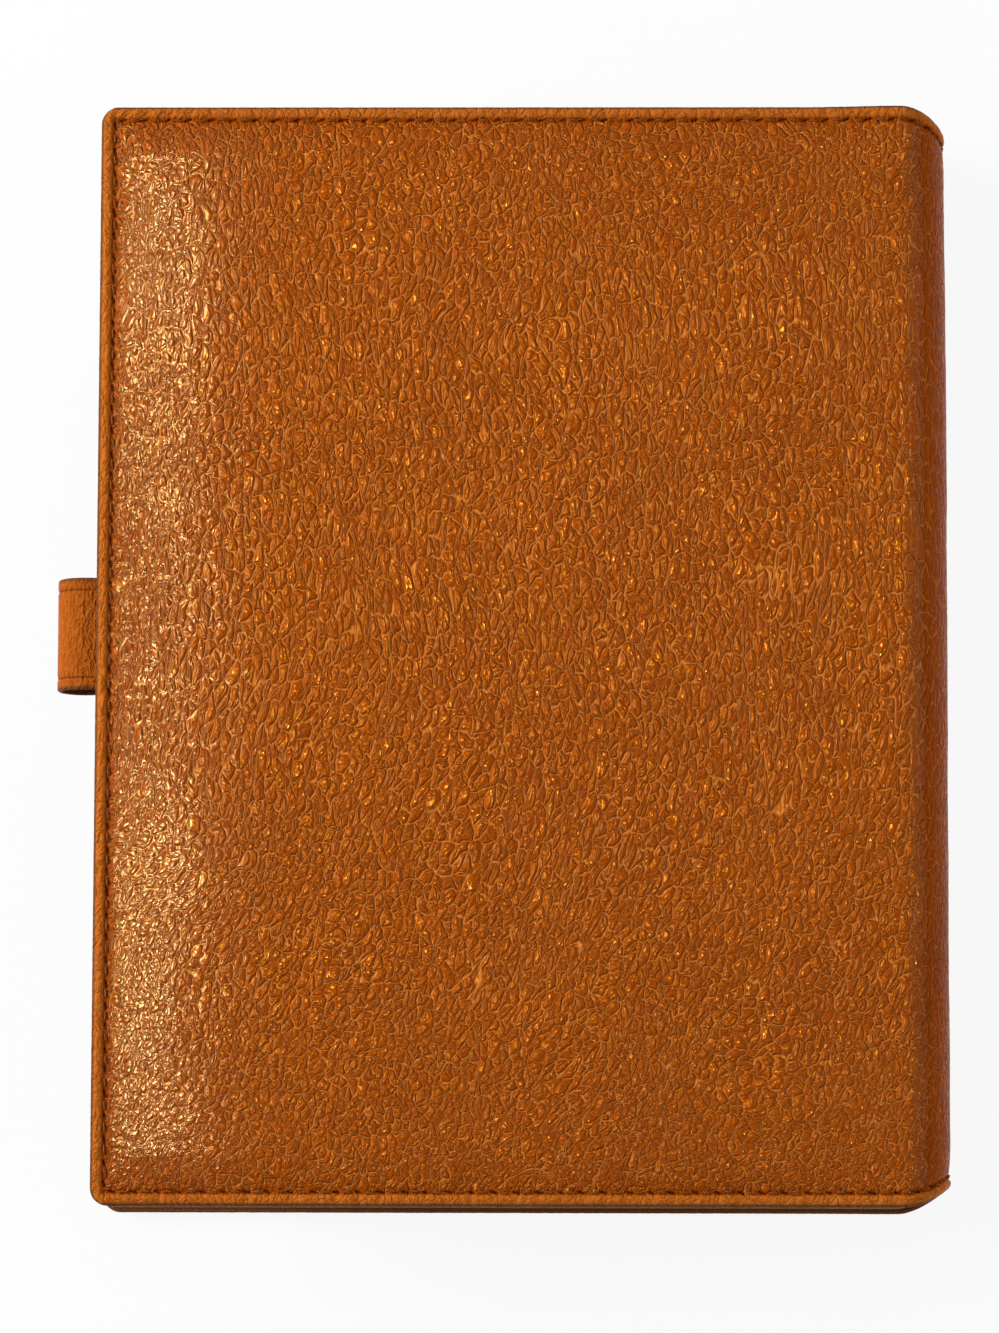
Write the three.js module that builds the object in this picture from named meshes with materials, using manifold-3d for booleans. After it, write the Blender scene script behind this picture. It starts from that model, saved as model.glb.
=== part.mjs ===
// A closed six-ring agenda book lying on its front cover, in millimetres.
// +X points to the spine, +Y to the head of the pages and +Z to the back cover.
import * as THREE from 'three';
import { mergeVertices } from 'three/addons/utils/BufferGeometryUtils.js';
import Module from 'manifold-3d';

const wasm = await Module();
wasm.setup();

// Pages and their holes
const PAGE_WIDTH = 95;
const PAGE_HEIGHT = 171;
const HOLE_RADIUS = 2.75;
const HOLE_EDGE = 5.5;
const HOLE_PITCH = 19;
const HOLE_GROUP_GAP = 51;
const SHEET_GAP = 0.1;
const FLYLEAF = 0.5;
const DIVIDER = 0.4;
const RULER = 0.5;
const RULER_WIDTH = 44;
const RULER_OVERHANG = 3;
const TAB_REACH = 6;
const TAB_HEIGHT = 32;
const NOTE_PAGES = 1.5;
const ADDRESS_PAGES = 1.2;

// Ring mechanism
const RING_RADIUS = 9.2;
const WIRE_RADIUS = 1.25;
const RING_TIP_GAP = 0.3;
const RING_SEAT_RISE = 1.6;
const RING_ROOM = 1.95;
const WIRE_PLAY = 0.35;
const PLATE_HEIGHT = 4.2;
const PLATE_SAGITTA = 1.1;
const PLATE_SHEET = 0.8;
const PLATE_INSET = 2;
const RAIL_THICKNESS = 0.9;
const RAIL_WIDTH = 5.8;
const RAIL_GAP = 0.6;
const RAIL_RISE = 1.2;
const RUNNING_GAP = 0.3;
const SLOT_PLAY = 0.7;
const RIVET_RADIUS = 1.5;
const RIVET_HEAD_RADIUS = 2.3;
const RIVET_HEAD_HEIGHT = 0.9;
const LEVER_WIDTH = 10;
const LEVER_SHEET = 1.2;
const LEVER_REACH = 7.1;
const LEVER_RISE = 4.6;
const LEVER_PIVOT_INSET = 1;

// Cover case
const END_MARGIN = 7;
const FORE_MARGIN = 28.75;
const LEATHER = 0.8;
const LINING = 0.6;
const BOARD = 1;
const BORDER_SKIN = 0.5;
const CROWN = 1.3;
const GLUE_LINE = 0.1;
const LEAF_CLEARANCE = 0.2;
const CORNER_RADIUS = 2.3;
const FOLD_REACH = 8.4;
const FOLD_GAP = 0.3;
const BORDER_WIDTH = 3.2;
const TURN_IN = 4.6;
const CROWN_RUN_FORE = 22;
const CROWN_RUN_END = 9;
const FOLD_RUN = 16;
const FOLD_DROP = 0.3;
const FOLD_BORDER = 1.3;
const SPINE_TUCK = 2.4;
const SPINE_BOARD_HALF = 7.6;
const SPINE_LINING_HALF = 7.9;
const SPINE_PAD_HALF = 6.1;
const BOARD_INSET = 5.2;
const PAD_INSET_FORE = 10.5;
const PAD_INSET_END = 6.5;
const LINING_INSET = 0.8;
const EDGE_ROLL = 0.9;

// Pockets and pen loop
const PANEL = 0.8;
const CARD_SLOT_STEP = 15;
const CARD_SLOT_HEIGHT = 46;
const CARD_SLOT_WIDTH = 58;
const CARD_SLOTS = 3;
const POCKET_MARGIN = 3;
const POCKET_WIDTH = 62;
const LOOP_REACH = 6.1;
const LOOP_HEIGHT = 18.9;
const LOOP_ABOVE_CENTRE = 3.1;
const LOOP_RADIUS = 4.5;
const LOOP_STRAP = 0.9;
const LOOP_TAIL = 13;
const LOOP_LEAN = 50;

// Sizes that follow from the ones above
const BORDER = BOARD + GLUE_LINE + BORDER_SKIN;
const COVER = LINING + GLUE_LINE + BORDER + CROWN;
const HALF_THICKNESS = COVER + RING_ROOM + WIRE_RADIUS + RING_RADIUS;
const THICKNESS = 2 * HALF_THICKNESS;
const RING_STAND = RING_RADIUS + RING_SEAT_RISE;
const HOLE_CIRCLE = RING_RADIUS + HOLE_RADIUS - WIRE_RADIUS - WIRE_PLAY;
const LEAF_HALF = RING_STAND - PLATE_HEIGHT - LEAF_CLEARANCE;
const COVER_HEIGHT = PAGE_HEIGHT + 2 * END_MARGIN;
const COVER_WIDTH = COVER + RING_STAND + HOLE_CIRCLE - HOLE_EDGE + PAGE_WIDTH + FORE_MARGIN;
const SPINE_X = (COVER_WIDTH + LOOP_REACH) / 2;
const FORE_X = SPINE_X - COVER_WIDTH;
const SPINE_INSIDE = SPINE_X - COVER;
const FOLD_X = SPINE_X - FOLD_REACH;
const RING_X = SPINE_INSIDE - RING_STAND;
const RING_Y = [-1, 1].flatMap((side) => [0, 1, 2].map(
  (step) => side * (HOLE_GROUP_GAP / 2 + step * HOLE_PITCH),
)).sort((a, b) => a - b);
const LAST_RING_Y = HOLE_GROUP_GAP / 2 + 2 * HOLE_PITCH;
const PLATE_HALF_LENGTH = PAGE_HEIGHT / 2 - PLATE_INSET;
const RIVET_Y = (LAST_RING_Y + PLATE_HALF_LENGTH) / 2;
const RAIL_OUTSIDE = RAIL_GAP / 2 + RAIL_WIDTH;
const RAIL_MIDDLE = RAIL_GAP / 2 + RAIL_WIDTH / 2;
const RAIL_TOP = RAIL_RISE + RAIL_THICKNESS;
const PLATE_HALF_WIDTH = RAIL_OUTSIDE + RUNNING_GAP + PLATE_SHEET;

// Finishes
const finish = (color, roughness, metalness) => ({ color, roughness, metalness });
const COGNAC = finish(0xa2591d, 0.42, 0);
const LINING_TAN = finish(0x8a5a34, 0.65, 0);
const GREYBOARD = finish(0x8d8578, 0.9, 0);
const FOAM = finish(0xd9d2c2, 0.95, 0);
const PAPER = finish(0xf4efe2, 0.9, 0);
const CARD = finish(0xd8c7a0, 0.8, 0);
const CLEAR_SHEET = finish(0xdfe4e6, 0.3, 0);
const NICKEL = finish(0xc9ccd0, 0.22, 1);

function toSolid(geometry) {
  const bare = geometry.index ? geometry.toNonIndexed() : geometry.clone();
  bare.deleteAttribute('normal');
  bare.deleteAttribute('uv');
  const merged = mergeVertices(bare, 1e-4);
  return new wasm.Manifold(new wasm.Mesh({
    numProp: 3,
    vertProperties: new Float32Array(merged.attributes.position.array),
    triVerts: new Uint32Array(merged.index.array),
  }));
}

function toGeometry(solid) {
  const { vertProperties, triVerts } = solid.getMesh();
  const geometry = new THREE.BufferGeometry();
  geometry.setAttribute('position', new THREE.BufferAttribute(vertProperties, 3));
  geometry.setIndex(new THREE.BufferAttribute(triVerts, 1));
  geometry.computeVertexNormals();
  return geometry;
}

function piece(name, geometry, surface) {
  const mesh = new THREE.Mesh(geometry, new THREE.MeshStandardMaterial(surface));
  mesh.name = name;
  return mesh;
}

function box(x0, x1, y0, y1, z0, z1) {
  const geometry = new THREE.BoxGeometry(x1 - x0, y1 - y0, z1 - z0);
  return geometry.translate((x0 + x1) / 2, (y0 + y1) / 2, (z0 + z1) / 2);
}

// A plate lying in XY whose fore-edge corners are rounded in plan.
function roundedPlate(x0, x1, y0, y1, z0, z1, radius) {
  const outline = new THREE.Shape();
  outline.moveTo(x1, y0);
  outline.lineTo(x1, y1);
  outline.lineTo(x0 + radius, y1);
  outline.absarc(x0 + radius, y1 - radius, radius, Math.PI / 2, Math.PI, false);
  outline.lineTo(x0, y0 + radius);
  outline.absarc(x0 + radius, y0 + radius, radius, Math.PI, 1.5 * Math.PI, false);
  const solid = new THREE.ExtrudeGeometry(outline, {
    depth: z1 - z0, bevelEnabled: false, curveSegments: 5,
  });
  return solid.translate(0, 0, z0);
}

// An outline drawn in X and Z, carried along Y from y0 to y1.
function prismAlongY(outline, y0, y1, curveSegments = 6) {
  const solid = new THREE.ExtrudeGeometry(outline, {
    depth: y1 - y0, bevelEnabled: false, curveSegments,
  });
  return solid.rotateX(Math.PI / 2).translate(0, y1, 0);
}

// A closed solid between two point grids that share their rows and columns.
function gridSolid(rows, columns, upperPoint, lowerPoint) {
  const positions = [];
  for (const point of [upperPoint, lowerPoint]) {
    for (const row of rows) {
      for (const column of columns) {
        positions.push(...point(row, column));
      }
    }
  }
  const layer = rows.length * columns.length;
  const at = (side, i, j) => side * layer + i * columns.length + j;
  const triangles = [];
  const quad = (a, b, c, d) => triangles.push(a, b, c, a, c, d);
  const lastRow = rows.length - 1;
  const lastColumn = columns.length - 1;
  for (let i = 0; i < lastRow; i += 1) {
    for (let j = 0; j < lastColumn; j += 1) {
      quad(at(0, i, j), at(0, i + 1, j), at(0, i + 1, j + 1), at(0, i, j + 1));
      quad(at(1, i, j), at(1, i, j + 1), at(1, i + 1, j + 1), at(1, i + 1, j));
    }
    quad(at(0, i, 0), at(1, i, 0), at(1, i + 1, 0), at(0, i + 1, 0));
    quad(at(0, i, lastColumn), at(0, i + 1, lastColumn), at(1, i + 1, lastColumn), at(1, i, lastColumn));
  }
  for (let j = 0; j < lastColumn; j += 1) {
    quad(at(0, 0, j), at(0, 0, j + 1), at(1, 0, j + 1), at(1, 0, j));
    quad(at(0, lastRow, j), at(1, lastRow, j), at(1, lastRow, j + 1), at(0, lastRow, j + 1));
  }
  const geometry = new THREE.BufferGeometry();
  geometry.setAttribute('position', new THREE.Float32BufferAttribute(positions, 3));
  geometry.setIndex(triangles);
  geometry.computeVertexNormals();
  return geometry;
}

// Cover case. A cover is drawn lying flat with its lining face at z = 0 and its leather up.
const swell = (distance, start, end) => Math.sin(
  Math.PI / 2 * THREE.MathUtils.clamp((distance - start) / (end - start), 0, 1),
);

const endDistance = (y) => COVER_HEIGHT / 2 - Math.abs(y);

// The sewn border lies less far below the padded field, and thins, where it nears the spine fold.
const nearFold = (x) => THREE.MathUtils.smoothstep(x, FOLD_X - FOLD_RUN, FOLD_X);
const borderDrop = (x) => THREE.MathUtils.lerp(CROWN, FOLD_DROP, nearFold(x));
const borderThickness = (x) => THREE.MathUtils.lerp(BORDER, FOLD_BORDER, nearFold(x));

// Height of the leather's face: a rolled edge, a flat sewn border, then the padded crown.
function leatherFace(x, y) {
  const foreDistance = x - FORE_X;
  const field = swell(foreDistance, BORDER_WIDTH, CROWN_RUN_FORE)
    * swell(endDistance(y), BORDER_WIDTH, CROWN_RUN_END);
  const roll = swell(Math.min(foreDistance, endDistance(y)), -EDGE_ROLL, EDGE_ROLL);
  const border = COVER - borderDrop(x);
  return border + borderDrop(x) * field - borderThickness(x) * (1 - roll);
}

const turnedEdge = (x, y) => Math.min(x - FORE_X, endDistance(y)) < TURN_IN;

const boardTop = LINING + GLUE_LINE + BOARD;
const BOARD_HALF = COVER_HEIGHT / 2 - BOARD_INSET;

// Underside of the leather: doubled by its turned edge around three sides, skived over the board.
function leatherBack(x, y) {
  const border = COVER - borderDrop(x) - borderThickness(x);
  return turnedEdge(x, y) ? border : Math.max(leatherFace(x, y) - LEATHER, boardTop + GLUE_LINE);
}

// A point of the cover plan, drawn in where the fore-edge corners are round.
function planPoint(x, y) {
  const reach = CORNER_RADIUS - Math.min(CORNER_RADIUS, endDistance(y));
  const drawnIn = CORNER_RADIUS - Math.sqrt(CORNER_RADIUS ** 2 - reach ** 2);
  const along = THREE.MathUtils.clamp((x - FORE_X) / CROWN_RUN_FORE, 0, 1);
  return x + drawnIn * (1 - along);
}

const EDGE_STEPS = [0, 0.3, 0.9, 2.3, BORDER_WIDTH, TURN_IN - 0.05, TURN_IN + 0.05];

function endToEnd() {
  const steps = [...EDGE_STEPS, 6, 7.4, CROWN_RUN_END];
  const half = COVER_HEIGHT / 2;
  return [...steps.map((step) => step - half), 0, ...steps.map((step) => half - step).reverse()];
}

function foreToFold() {
  const steps = [...EDGE_STEPS, 7, 10, 14, 18, CROWN_RUN_FORE];
  const beforeFold = [FOLD_RUN, 0.66 * FOLD_RUN, 0.33 * FOLD_RUN, 0];
  return [...steps.map((step) => FORE_X + step), ...beforeFold.map((step) => FOLD_X - step)];
}

// The closed spine is half an ellipse. turn is 0 at the back cover's fold and pi at the front cover's.
function spineCurve(turn) {
  const point = new THREE.Vector2(FOLD_REACH * Math.sin(turn), HALF_THICKNESS * Math.cos(turn));
  const normal = new THREE.Vector2(Math.sin(turn) / FOLD_REACH, Math.cos(turn) / HALF_THICKNESS);
  return { point, normal: normal.normalize() };
}

const evenly = (count, from, to) => Array.from(
  { length: count + 1 }, (_, i) => THREE.MathUtils.lerp(from, to, i / count),
);

const CURVE_STEPS = 90;
const boardEndTurn = Math.acos(SPINE_BOARD_HALF / HALF_THICKNESS);

// A cover opens about an axis that lets the fold's leather lie flat at its own length.
function hingeInset() {
  const points = evenly(CURVE_STEPS, 0, boardEndTurn).map((turn) => spineCurve(turn).point);
  const fold = points.slice(1).reduce((sum, point, i) => sum + point.distanceTo(points[i]), 0);
  return (HALF_THICKNESS + FOLD_REACH - SPINE_BOARD_HALF - fold) / 2;
}

// The leather is parted where the curve passes closest to that axis.
function partingTurn() {
  const inset = hingeInset();
  const hinge = new THREE.Vector2(FOLD_REACH - inset, HALF_THICKNESS - inset);
  const distance = (turn) => spineCurve(turn).point.distanceTo(hinge);
  const nearer = (best, turn) => (distance(turn) < distance(best) ? turn : best);
  return evenly(CURVE_STEPS, 0, Math.PI / 2).reduce(nearer);
}

const PARTING = partingTurn();
const PARTING_GAP = FOLD_GAP / HALF_THICKNESS;
const COVER_FOLD_STEPS = 4;
const SPINE_STEPS = 12;
const SPINE_PAD_STEPS = 6;

// The head and tail of the spine are drawn in a little as the leather turns round it.
const tucked = (y, turn) => y * (1 - SPINE_TUCK * Math.sin(turn) ** 2 / (COVER_HEIGHT / 2));

function foldPoint(turn, y, height) {
  const { point, normal } = spineCurve(turn);
  const inner = point.addScaledVector(normal, height(FOLD_X, y) - COVER);
  return [FOLD_X + inner.x, tucked(y, turn), inner.y];
}

function coverLeather() {
  const rows = [
    ...foreToFold().map((x) => ({ x })),
    ...evenly(COVER_FOLD_STEPS, 0, PARTING - PARTING_GAP / 2).slice(1).map((turn) => ({ turn })),
  ];
  const place = (height) => ({ x, turn }, y) => {
    if (turn === undefined) {
      return [planPoint(x, y), y, height(x, y)];
    }
    const [foldX, foldY, rise] = foldPoint(turn, y, height);
    return [foldX, foldY, rise - HALF_THICKNESS + COVER];
  };
  return gridSolid(rows, endToEnd(), place(leatherFace), place(leatherBack));
}

function coverPadding() {
  const half = COVER_HEIGHT / 2;
  const ends = [PAD_INSET_END, 7.4, CROWN_RUN_END];
  const columns = [...ends.map((step) => step - half), ...ends.map((step) => half - step).reverse()];
  const fore = [PAD_INSET_FORE, 14, 18, CROWN_RUN_FORE];
  const rows = [...fore.map((step) => FORE_X + step), FOLD_X - FOLD_RUN, FOLD_X - GLUE_LINE];
  const face = (x, y) => [x, y, leatherBack(x, y) - GLUE_LINE];
  const back = (x, y) => [x, y, boardTop + GLUE_LINE];
  return gridSolid(rows, columns, face, back);
}

function coverLining() {
  const foldSide = FOLD_X + FOLD_GAP;
  const half = COVER_HEIGHT / 2 - LINING_INSET;
  return roundedPlate(FORE_X + LINING_INSET, foldSide, -half, half, 0, LINING, CORNER_RADIUS);
}

function coverLayers(side) {
  const cover = new THREE.Group();
  cover.add(piece(`${side}_outer_leather`, coverLeather(), COGNAC));
  cover.add(piece(`${side}_padding`, coverPadding(), FOAM));
  const board = box(
    FORE_X + BOARD_INSET, FOLD_X - GLUE_LINE, -BOARD_HALF, BOARD_HALF, LINING + GLUE_LINE, boardTop,
  );
  cover.add(piece(`${side}_board`, board, GREYBOARD));
  cover.add(piece(`${side}_lining`, coverLining(), LINING_TAN));
  return cover;
}

// Pocket panels lie against the lining, so they are below z = 0 in the flat cover.
function pocketPanel(x0, x1, y0, y1, layer) {
  const top = -GLUE_LINE - layer * (PANEL + GLUE_LINE);
  return box(x0, x1, y0, y1, top - PANEL, top);
}

const PANEL_HALF = COVER_HEIGHT / 2 - POCKET_MARGIN;

function frontCover() {
  const cover = coverLayers('front');
  const x0 = FORE_X + POCKET_MARGIN;
  const panel = pocketPanel(x0, x0 + POCKET_WIDTH, -PANEL_HALF, PANEL_HALF, 0);
  cover.add(piece('front_pocket_panel', panel, LINING_TAN));
  const inset = (POCKET_WIDTH - CARD_SLOT_WIDTH) / 2;
  for (let slot = 0; slot < CARD_SLOTS; slot += 1) {
    const headSide = CARD_SLOT_HEIGHT / 2 - slot * CARD_SLOT_STEP;
    const slotPanel = pocketPanel(
      x0 + inset, x0 + inset + CARD_SLOT_WIDTH, -headSide, CARD_SLOT_HEIGHT - headSide, slot + 1,
    );
    cover.add(piece(`card_slot_${slot + 1}`, slotPanel, LINING_TAN));
  }
  cover.rotation.x = Math.PI;
  cover.position.z = COVER;
  return cover;
}

// The pen loop: one strap bent round a pen, its two ends sewn together under the lining.
function penLoop() {
  const x = FORE_X - LOOP_REACH + LOOP_RADIUS;
  const top = -GLUE_LINE;
  const z = top - LOOP_RADIUS;
  const lean = THREE.MathUtils.degToRad(LOOP_LEAN);
  const direction = new THREE.Vector2(Math.sin(lean), Math.cos(lean));
  const leave = (radius) => new THREE.Vector2(
    x + radius * Math.cos(lean), z - radius * Math.sin(lean),
  );
  const riseTo = (from, level) => from.clone().addScaledVector(direction, (level - from.y) / direction.y);
  const bore = LOOP_RADIUS - LOOP_STRAP;
  const underTail = riseTo(leave(LOOP_RADIUS), top - 2 * LOOP_STRAP);
  const tailEnd = Math.max(FORE_X + LOOP_TAIL, underTail.x + LOOP_STRAP);
  const outline = new THREE.Shape();
  outline.moveTo(tailEnd, top);
  outline.lineTo(x, top);
  outline.absarc(x, z, LOOP_RADIUS, Math.PI / 2, 2 * Math.PI - lean, false);
  outline.lineTo(underTail.x, underTail.y);
  outline.lineTo(tailEnd, underTail.y);
  const inside = new THREE.Path();
  inside.moveTo(x, z + bore);
  inside.absarc(x, z, bore, Math.PI / 2, 2 * Math.PI - lean, false);
  const tip = riseTo(leave(bore), z + bore);
  inside.lineTo(tip.x, tip.y);
  outline.holes.push(inside);
  const middle = LOOP_ABOVE_CENTRE;
  return prismAlongY(outline, middle - LOOP_HEIGHT / 2, middle + LOOP_HEIGHT / 2, 18);
}

function backCover() {
  const cover = coverLayers('back');
  const x0 = FORE_X + LOOP_TAIL + POCKET_MARGIN;
  const panel = pocketPanel(x0, x0 + POCKET_WIDTH, -PANEL_HALF, PANEL_HALF, 0);
  cover.add(piece('back_pocket_panel', panel, LINING_TAN));
  cover.add(piece('pen_loop', penLoop(), COGNAC));
  cover.position.z = THICKNESS - COVER;
  return cover;
}

// Spine. Its leather runs from one parted fold to the other.
const spineBoardTop = SPINE_X - COVER + boardTop;

function spineLeather() {
  const first = PARTING + PARTING_GAP / 2;
  const turns = evenly(SPINE_STEPS, first, Math.PI - first);
  const place = (height) => (turn, y) => {
    const [x, foldY, rise] = foldPoint(turn, y, height);
    return [x, foldY, HALF_THICKNESS + rise];
  };
  return gridSolid(turns, endToEnd(), place(leatherFace), place(leatherBack));
}

// A soft pad that fills the bow between the flat spine board and the leather.
function spinePadding() {
  const edge = Math.acos(SPINE_PAD_HALF / HALF_THICKNESS);
  const half = COVER_HEIGHT / 2 - CROWN_RUN_END - GLUE_LINE;
  const under = LEATHER + GLUE_LINE;
  const face = (turn, y) => {
    const { point, normal } = spineCurve(turn);
    point.addScaledVector(normal, -under);
    return [FOLD_X + point.x, y, HALF_THICKNESS + point.y];
  };
  const back = (turn, y) => [spineBoardTop + GLUE_LINE, y, face(turn, y)[2]];
  return gridSolid(evenly(SPINE_PAD_STEPS, edge, Math.PI - edge), [-half, half], face, back);
}

function rivetHoles(radius, x0, x1) {
  const holes = rivetPlaces().map((y) => {
    const hole = new THREE.CylinderGeometry(radius, radius, x1 - x0, 16);
    return toSolid(hole.rotateZ(Math.PI / 2).translate((x0 + x1) / 2, y, HALF_THICKNESS));
  });
  return holes[0].add(holes[1]);
}

const rivetPlaces = () => [-1, 1].map((side) => side * RIVET_Y);

function spine() {
  const group = new THREE.Group();
  group.add(piece('spine_leather', spineLeather(), COGNAC));
  group.add(piece('spine_padding', spinePadding(), FOAM));
  const liningX = SPINE_INSIDE + LINING;
  const boardHalf = COVER_HEIGHT / 2 - CROWN_RUN_END;
  const board = toSolid(box(
    liningX + GLUE_LINE, spineBoardTop, -boardHalf, boardHalf,
    HALF_THICKNESS - SPINE_BOARD_HALF, HALF_THICKNESS + SPINE_BOARD_HALF,
  ));
  const liningHalf = COVER_HEIGHT / 2 - LINING_INSET - SPINE_TUCK;
  const lining = toSolid(box(
    SPINE_INSIDE, liningX, -liningHalf, liningHalf,
    HALF_THICKNESS - SPINE_LINING_HALF, HALF_THICKNESS + SPINE_LINING_HALF,
  ));
  const holes = rivetHoles(RIVET_RADIUS + RUNNING_GAP, SPINE_INSIDE - 1, SPINE_X);
  group.add(piece('spine_board', toGeometry(board.subtract(holes)), GREYBOARD));
  group.add(piece('spine_lining', toGeometry(lining.subtract(holes)), LINING_TAN));
  return group;
}

// Ring mechanism. u is the height above the spine lining and v the offset from mid-thickness.
const alongU = (u) => SPINE_INSIDE - u;

function arch(halfWidth, topU, shoulderU, footU) {
  const sagitta = topU - shoulderU;
  const radius = (halfWidth ** 2 + sagitta ** 2) / (2 * sagitta);
  const half = Math.asin(halfWidth / radius);
  const outline = new THREE.Shape();
  const steps = 8;
  outline.moveTo(alongU(footU), HALF_THICKNESS - halfWidth);
  for (let i = 0; i <= steps; i += 1) {
    const turn = half * (2 * i / steps - 1);
    const u = topU - radius * (1 - Math.cos(turn));
    outline.lineTo(alongU(u), HALF_THICKNESS + radius * Math.sin(turn));
  }
  outline.lineTo(alongU(footU), HALF_THICKNESS + halfWidth);
  return outline;
}

function basePlate() {
  const shoulder = PLATE_HEIGHT - PLATE_SAGITTA;
  const outside = arch(PLATE_HALF_WIDTH, PLATE_HEIGHT, shoulder, GLUE_LINE);
  const inside = arch(
    PLATE_HALF_WIDTH - PLATE_SHEET, PLATE_HEIGHT - PLATE_SHEET, shoulder - PLATE_SHEET / 2, -1,
  );
  const length = PLATE_HALF_LENGTH;
  let plate = toSolid(prismAlongY(outside, -length, length));
  plate = plate.subtract(toSolid(prismAlongY(inside, -length - 1, length + 1)));
  const aboveTop = alongU(PLATE_HEIGHT + 1);
  plate = plate.subtract(rivetHoles(RIVET_RADIUS + RUNNING_GAP, aboveTop, SPINE_INSIDE + 1));
  const slotHalf = WIRE_RADIUS + SLOT_PLAY;
  const slotStart = RAIL_MIDDLE - WIRE_RADIUS;
  for (const y of RING_Y) {
    for (const side of [-1, 1]) {
      const ends = [side * slotStart, side * (PLATE_HALF_WIDTH + 1)].sort((a, b) => a - b);
      plate = plate.subtract(toSolid(box(
        aboveTop, SPINE_INSIDE + 1, y - slotHalf, y + slotHalf,
        HALF_THICKNESS + ends[0], HALF_THICKNESS + ends[1],
      )));
    }
  }
  return toGeometry(plate);
}

// A domed rivet through the plate, the lining and the spine board.
function rivet(y) {
  const seat = PLATE_HEIGHT + GLUE_LINE;
  const foot = GLUE_LINE - boardTop;
  const profile = [
    new THREE.Vector2(0, foot),
    new THREE.Vector2(RIVET_RADIUS, foot),
    new THREE.Vector2(RIVET_RADIUS, seat),
    new THREE.Vector2(RIVET_HEAD_RADIUS, seat),
    new THREE.Vector2(0.8 * RIVET_HEAD_RADIUS, seat + 0.6 * RIVET_HEAD_HEIGHT),
    new THREE.Vector2(0.45 * RIVET_HEAD_RADIUS, seat + 0.92 * RIVET_HEAD_HEIGHT),
    new THREE.Vector2(0, seat + RIVET_HEAD_HEIGHT),
  ];
  const solid = new THREE.LatheGeometry(profile, 16);
  return solid.rotateZ(Math.PI / 2).translate(SPINE_INSIDE, y, HALF_THICKNESS);
}

const RAIL_HALF_LENGTH = PLATE_HALF_LENGTH - 2 * LEVER_PIVOT_INSET - LEVER_SHEET;

function rail(side) {
  const inner = HALF_THICKNESS + side * RAIL_GAP / 2;
  const outer = HALF_THICKNESS + side * RAIL_OUTSIDE;
  const strip = toSolid(box(
    alongU(RAIL_TOP), alongU(RAIL_RISE), -RAIL_HALF_LENGTH, RAIL_HALF_LENGTH,
    Math.min(inner, outer), Math.max(inner, outer),
  ));
  const holes = rivetHoles(RIVET_RADIUS + SLOT_PLAY, alongU(RAIL_TOP + 1), SPINE_INSIDE);
  return toGeometry(strip.subtract(holes));
}

class RingArc extends THREE.Curve {
  constructor(y, side, start, end) {
    super();
    Object.assign(this, { y, side, start, end });
  }

  getPoint(t, target = new THREE.Vector3()) {
    const turn = THREE.MathUtils.lerp(this.start, this.end, t);
    return target.set(
      RING_X - RING_RADIUS * Math.cos(turn),
      this.y,
      HALF_THICKNESS + this.side * RING_RADIUS * Math.sin(turn),
    );
  }
}

// Half a ring, from its tip at mid-thickness round to the rail that carries it.
function halfRing(y, side) {
  const tip = RING_TIP_GAP / 2 / RING_RADIUS;
  const foot = Math.PI - Math.asin(RAIL_MIDDLE / RING_RADIUS);
  const section = new THREE.Shape().absarc(0, 0, WIRE_RADIUS, 0, 2 * Math.PI, false);
  const wire = new THREE.ExtrudeGeometry(section, {
    extrudePath: new RingArc(y, side, tip, foot), steps: 13, curveSegments: 5,
  });
  const underRail = box(
    alongU(RAIL_TOP + GLUE_LINE), SPINE_X, y - RING_RADIUS, y + RING_RADIUS, 0, THICKNESS,
  );
  return toGeometry(toSolid(wire).subtract(toSolid(underRail)));
}

// Thumb lever at one end of the plate; pressing it down spreads the rings.
function releaseLever(end) {
  const inner = PLATE_HALF_LENGTH - LEVER_PIVOT_INSET - LEVER_SHEET / 2;
  const outline = new THREE.Shape([
    [inner, RAIL_RISE],
    [PLATE_HALF_LENGTH + 1, RAIL_RISE],
    [PLATE_HALF_LENGTH + 0.62 * LEVER_REACH, 2 * RAIL_RISE],
    [PLATE_HALF_LENGTH + LEVER_REACH, RAIL_RISE + LEVER_RISE],
    [PLATE_HALF_LENGTH + LEVER_REACH - LEVER_SHEET, RAIL_RISE + LEVER_RISE + LEVER_SHEET / 2],
    [PLATE_HALF_LENGTH + 0.52 * LEVER_REACH, 2 * RAIL_RISE + LEVER_SHEET],
    [PLATE_HALF_LENGTH + 0.8, RAIL_RISE + LEVER_SHEET],
    [inner, RAIL_RISE + LEVER_SHEET],
  ].map(([y, u]) => new THREE.Vector2(y, u)));
  const solid = new THREE.ExtrudeGeometry(outline, { depth: LEVER_WIDTH, bevelEnabled: false });
  const placed = new THREE.Matrix4().makeBasis(
    new THREE.Vector3(0, 1, 0), new THREE.Vector3(-1, 0, 0), new THREE.Vector3(0, 0, 1),
  );
  placed.setPosition(SPINE_INSIDE, 0, HALF_THICKNESS - LEVER_WIDTH / 2);
  solid.applyMatrix4(placed);
  return end > 0 ? solid : solid.rotateX(Math.PI).translate(0, 0, THICKNESS);
}

function ringMechanism() {
  const group = new THREE.Group();
  group.add(piece('ring_base_plate', basePlate(), NICKEL));
  const ends = [['tail', -1], ['head', 1]];
  ends.forEach(([end, side], i) => {
    group.add(piece(`${end}_rivet`, rivet(rivetPlaces()[i]), NICKEL));
    group.add(piece(`${end}_lever`, releaseLever(side), NICKEL));
  });
  for (const [cover, side] of [['front', -1], ['back', 1]]) {
    group.add(piece(`${cover}_rail`, rail(side), NICKEL));
    RING_Y.forEach((y, i) => {
      group.add(piece(`${cover}_half_ring_${i + 1}`, halfRing(y, side), NICKEL));
    });
  }
  return group;
}

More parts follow.
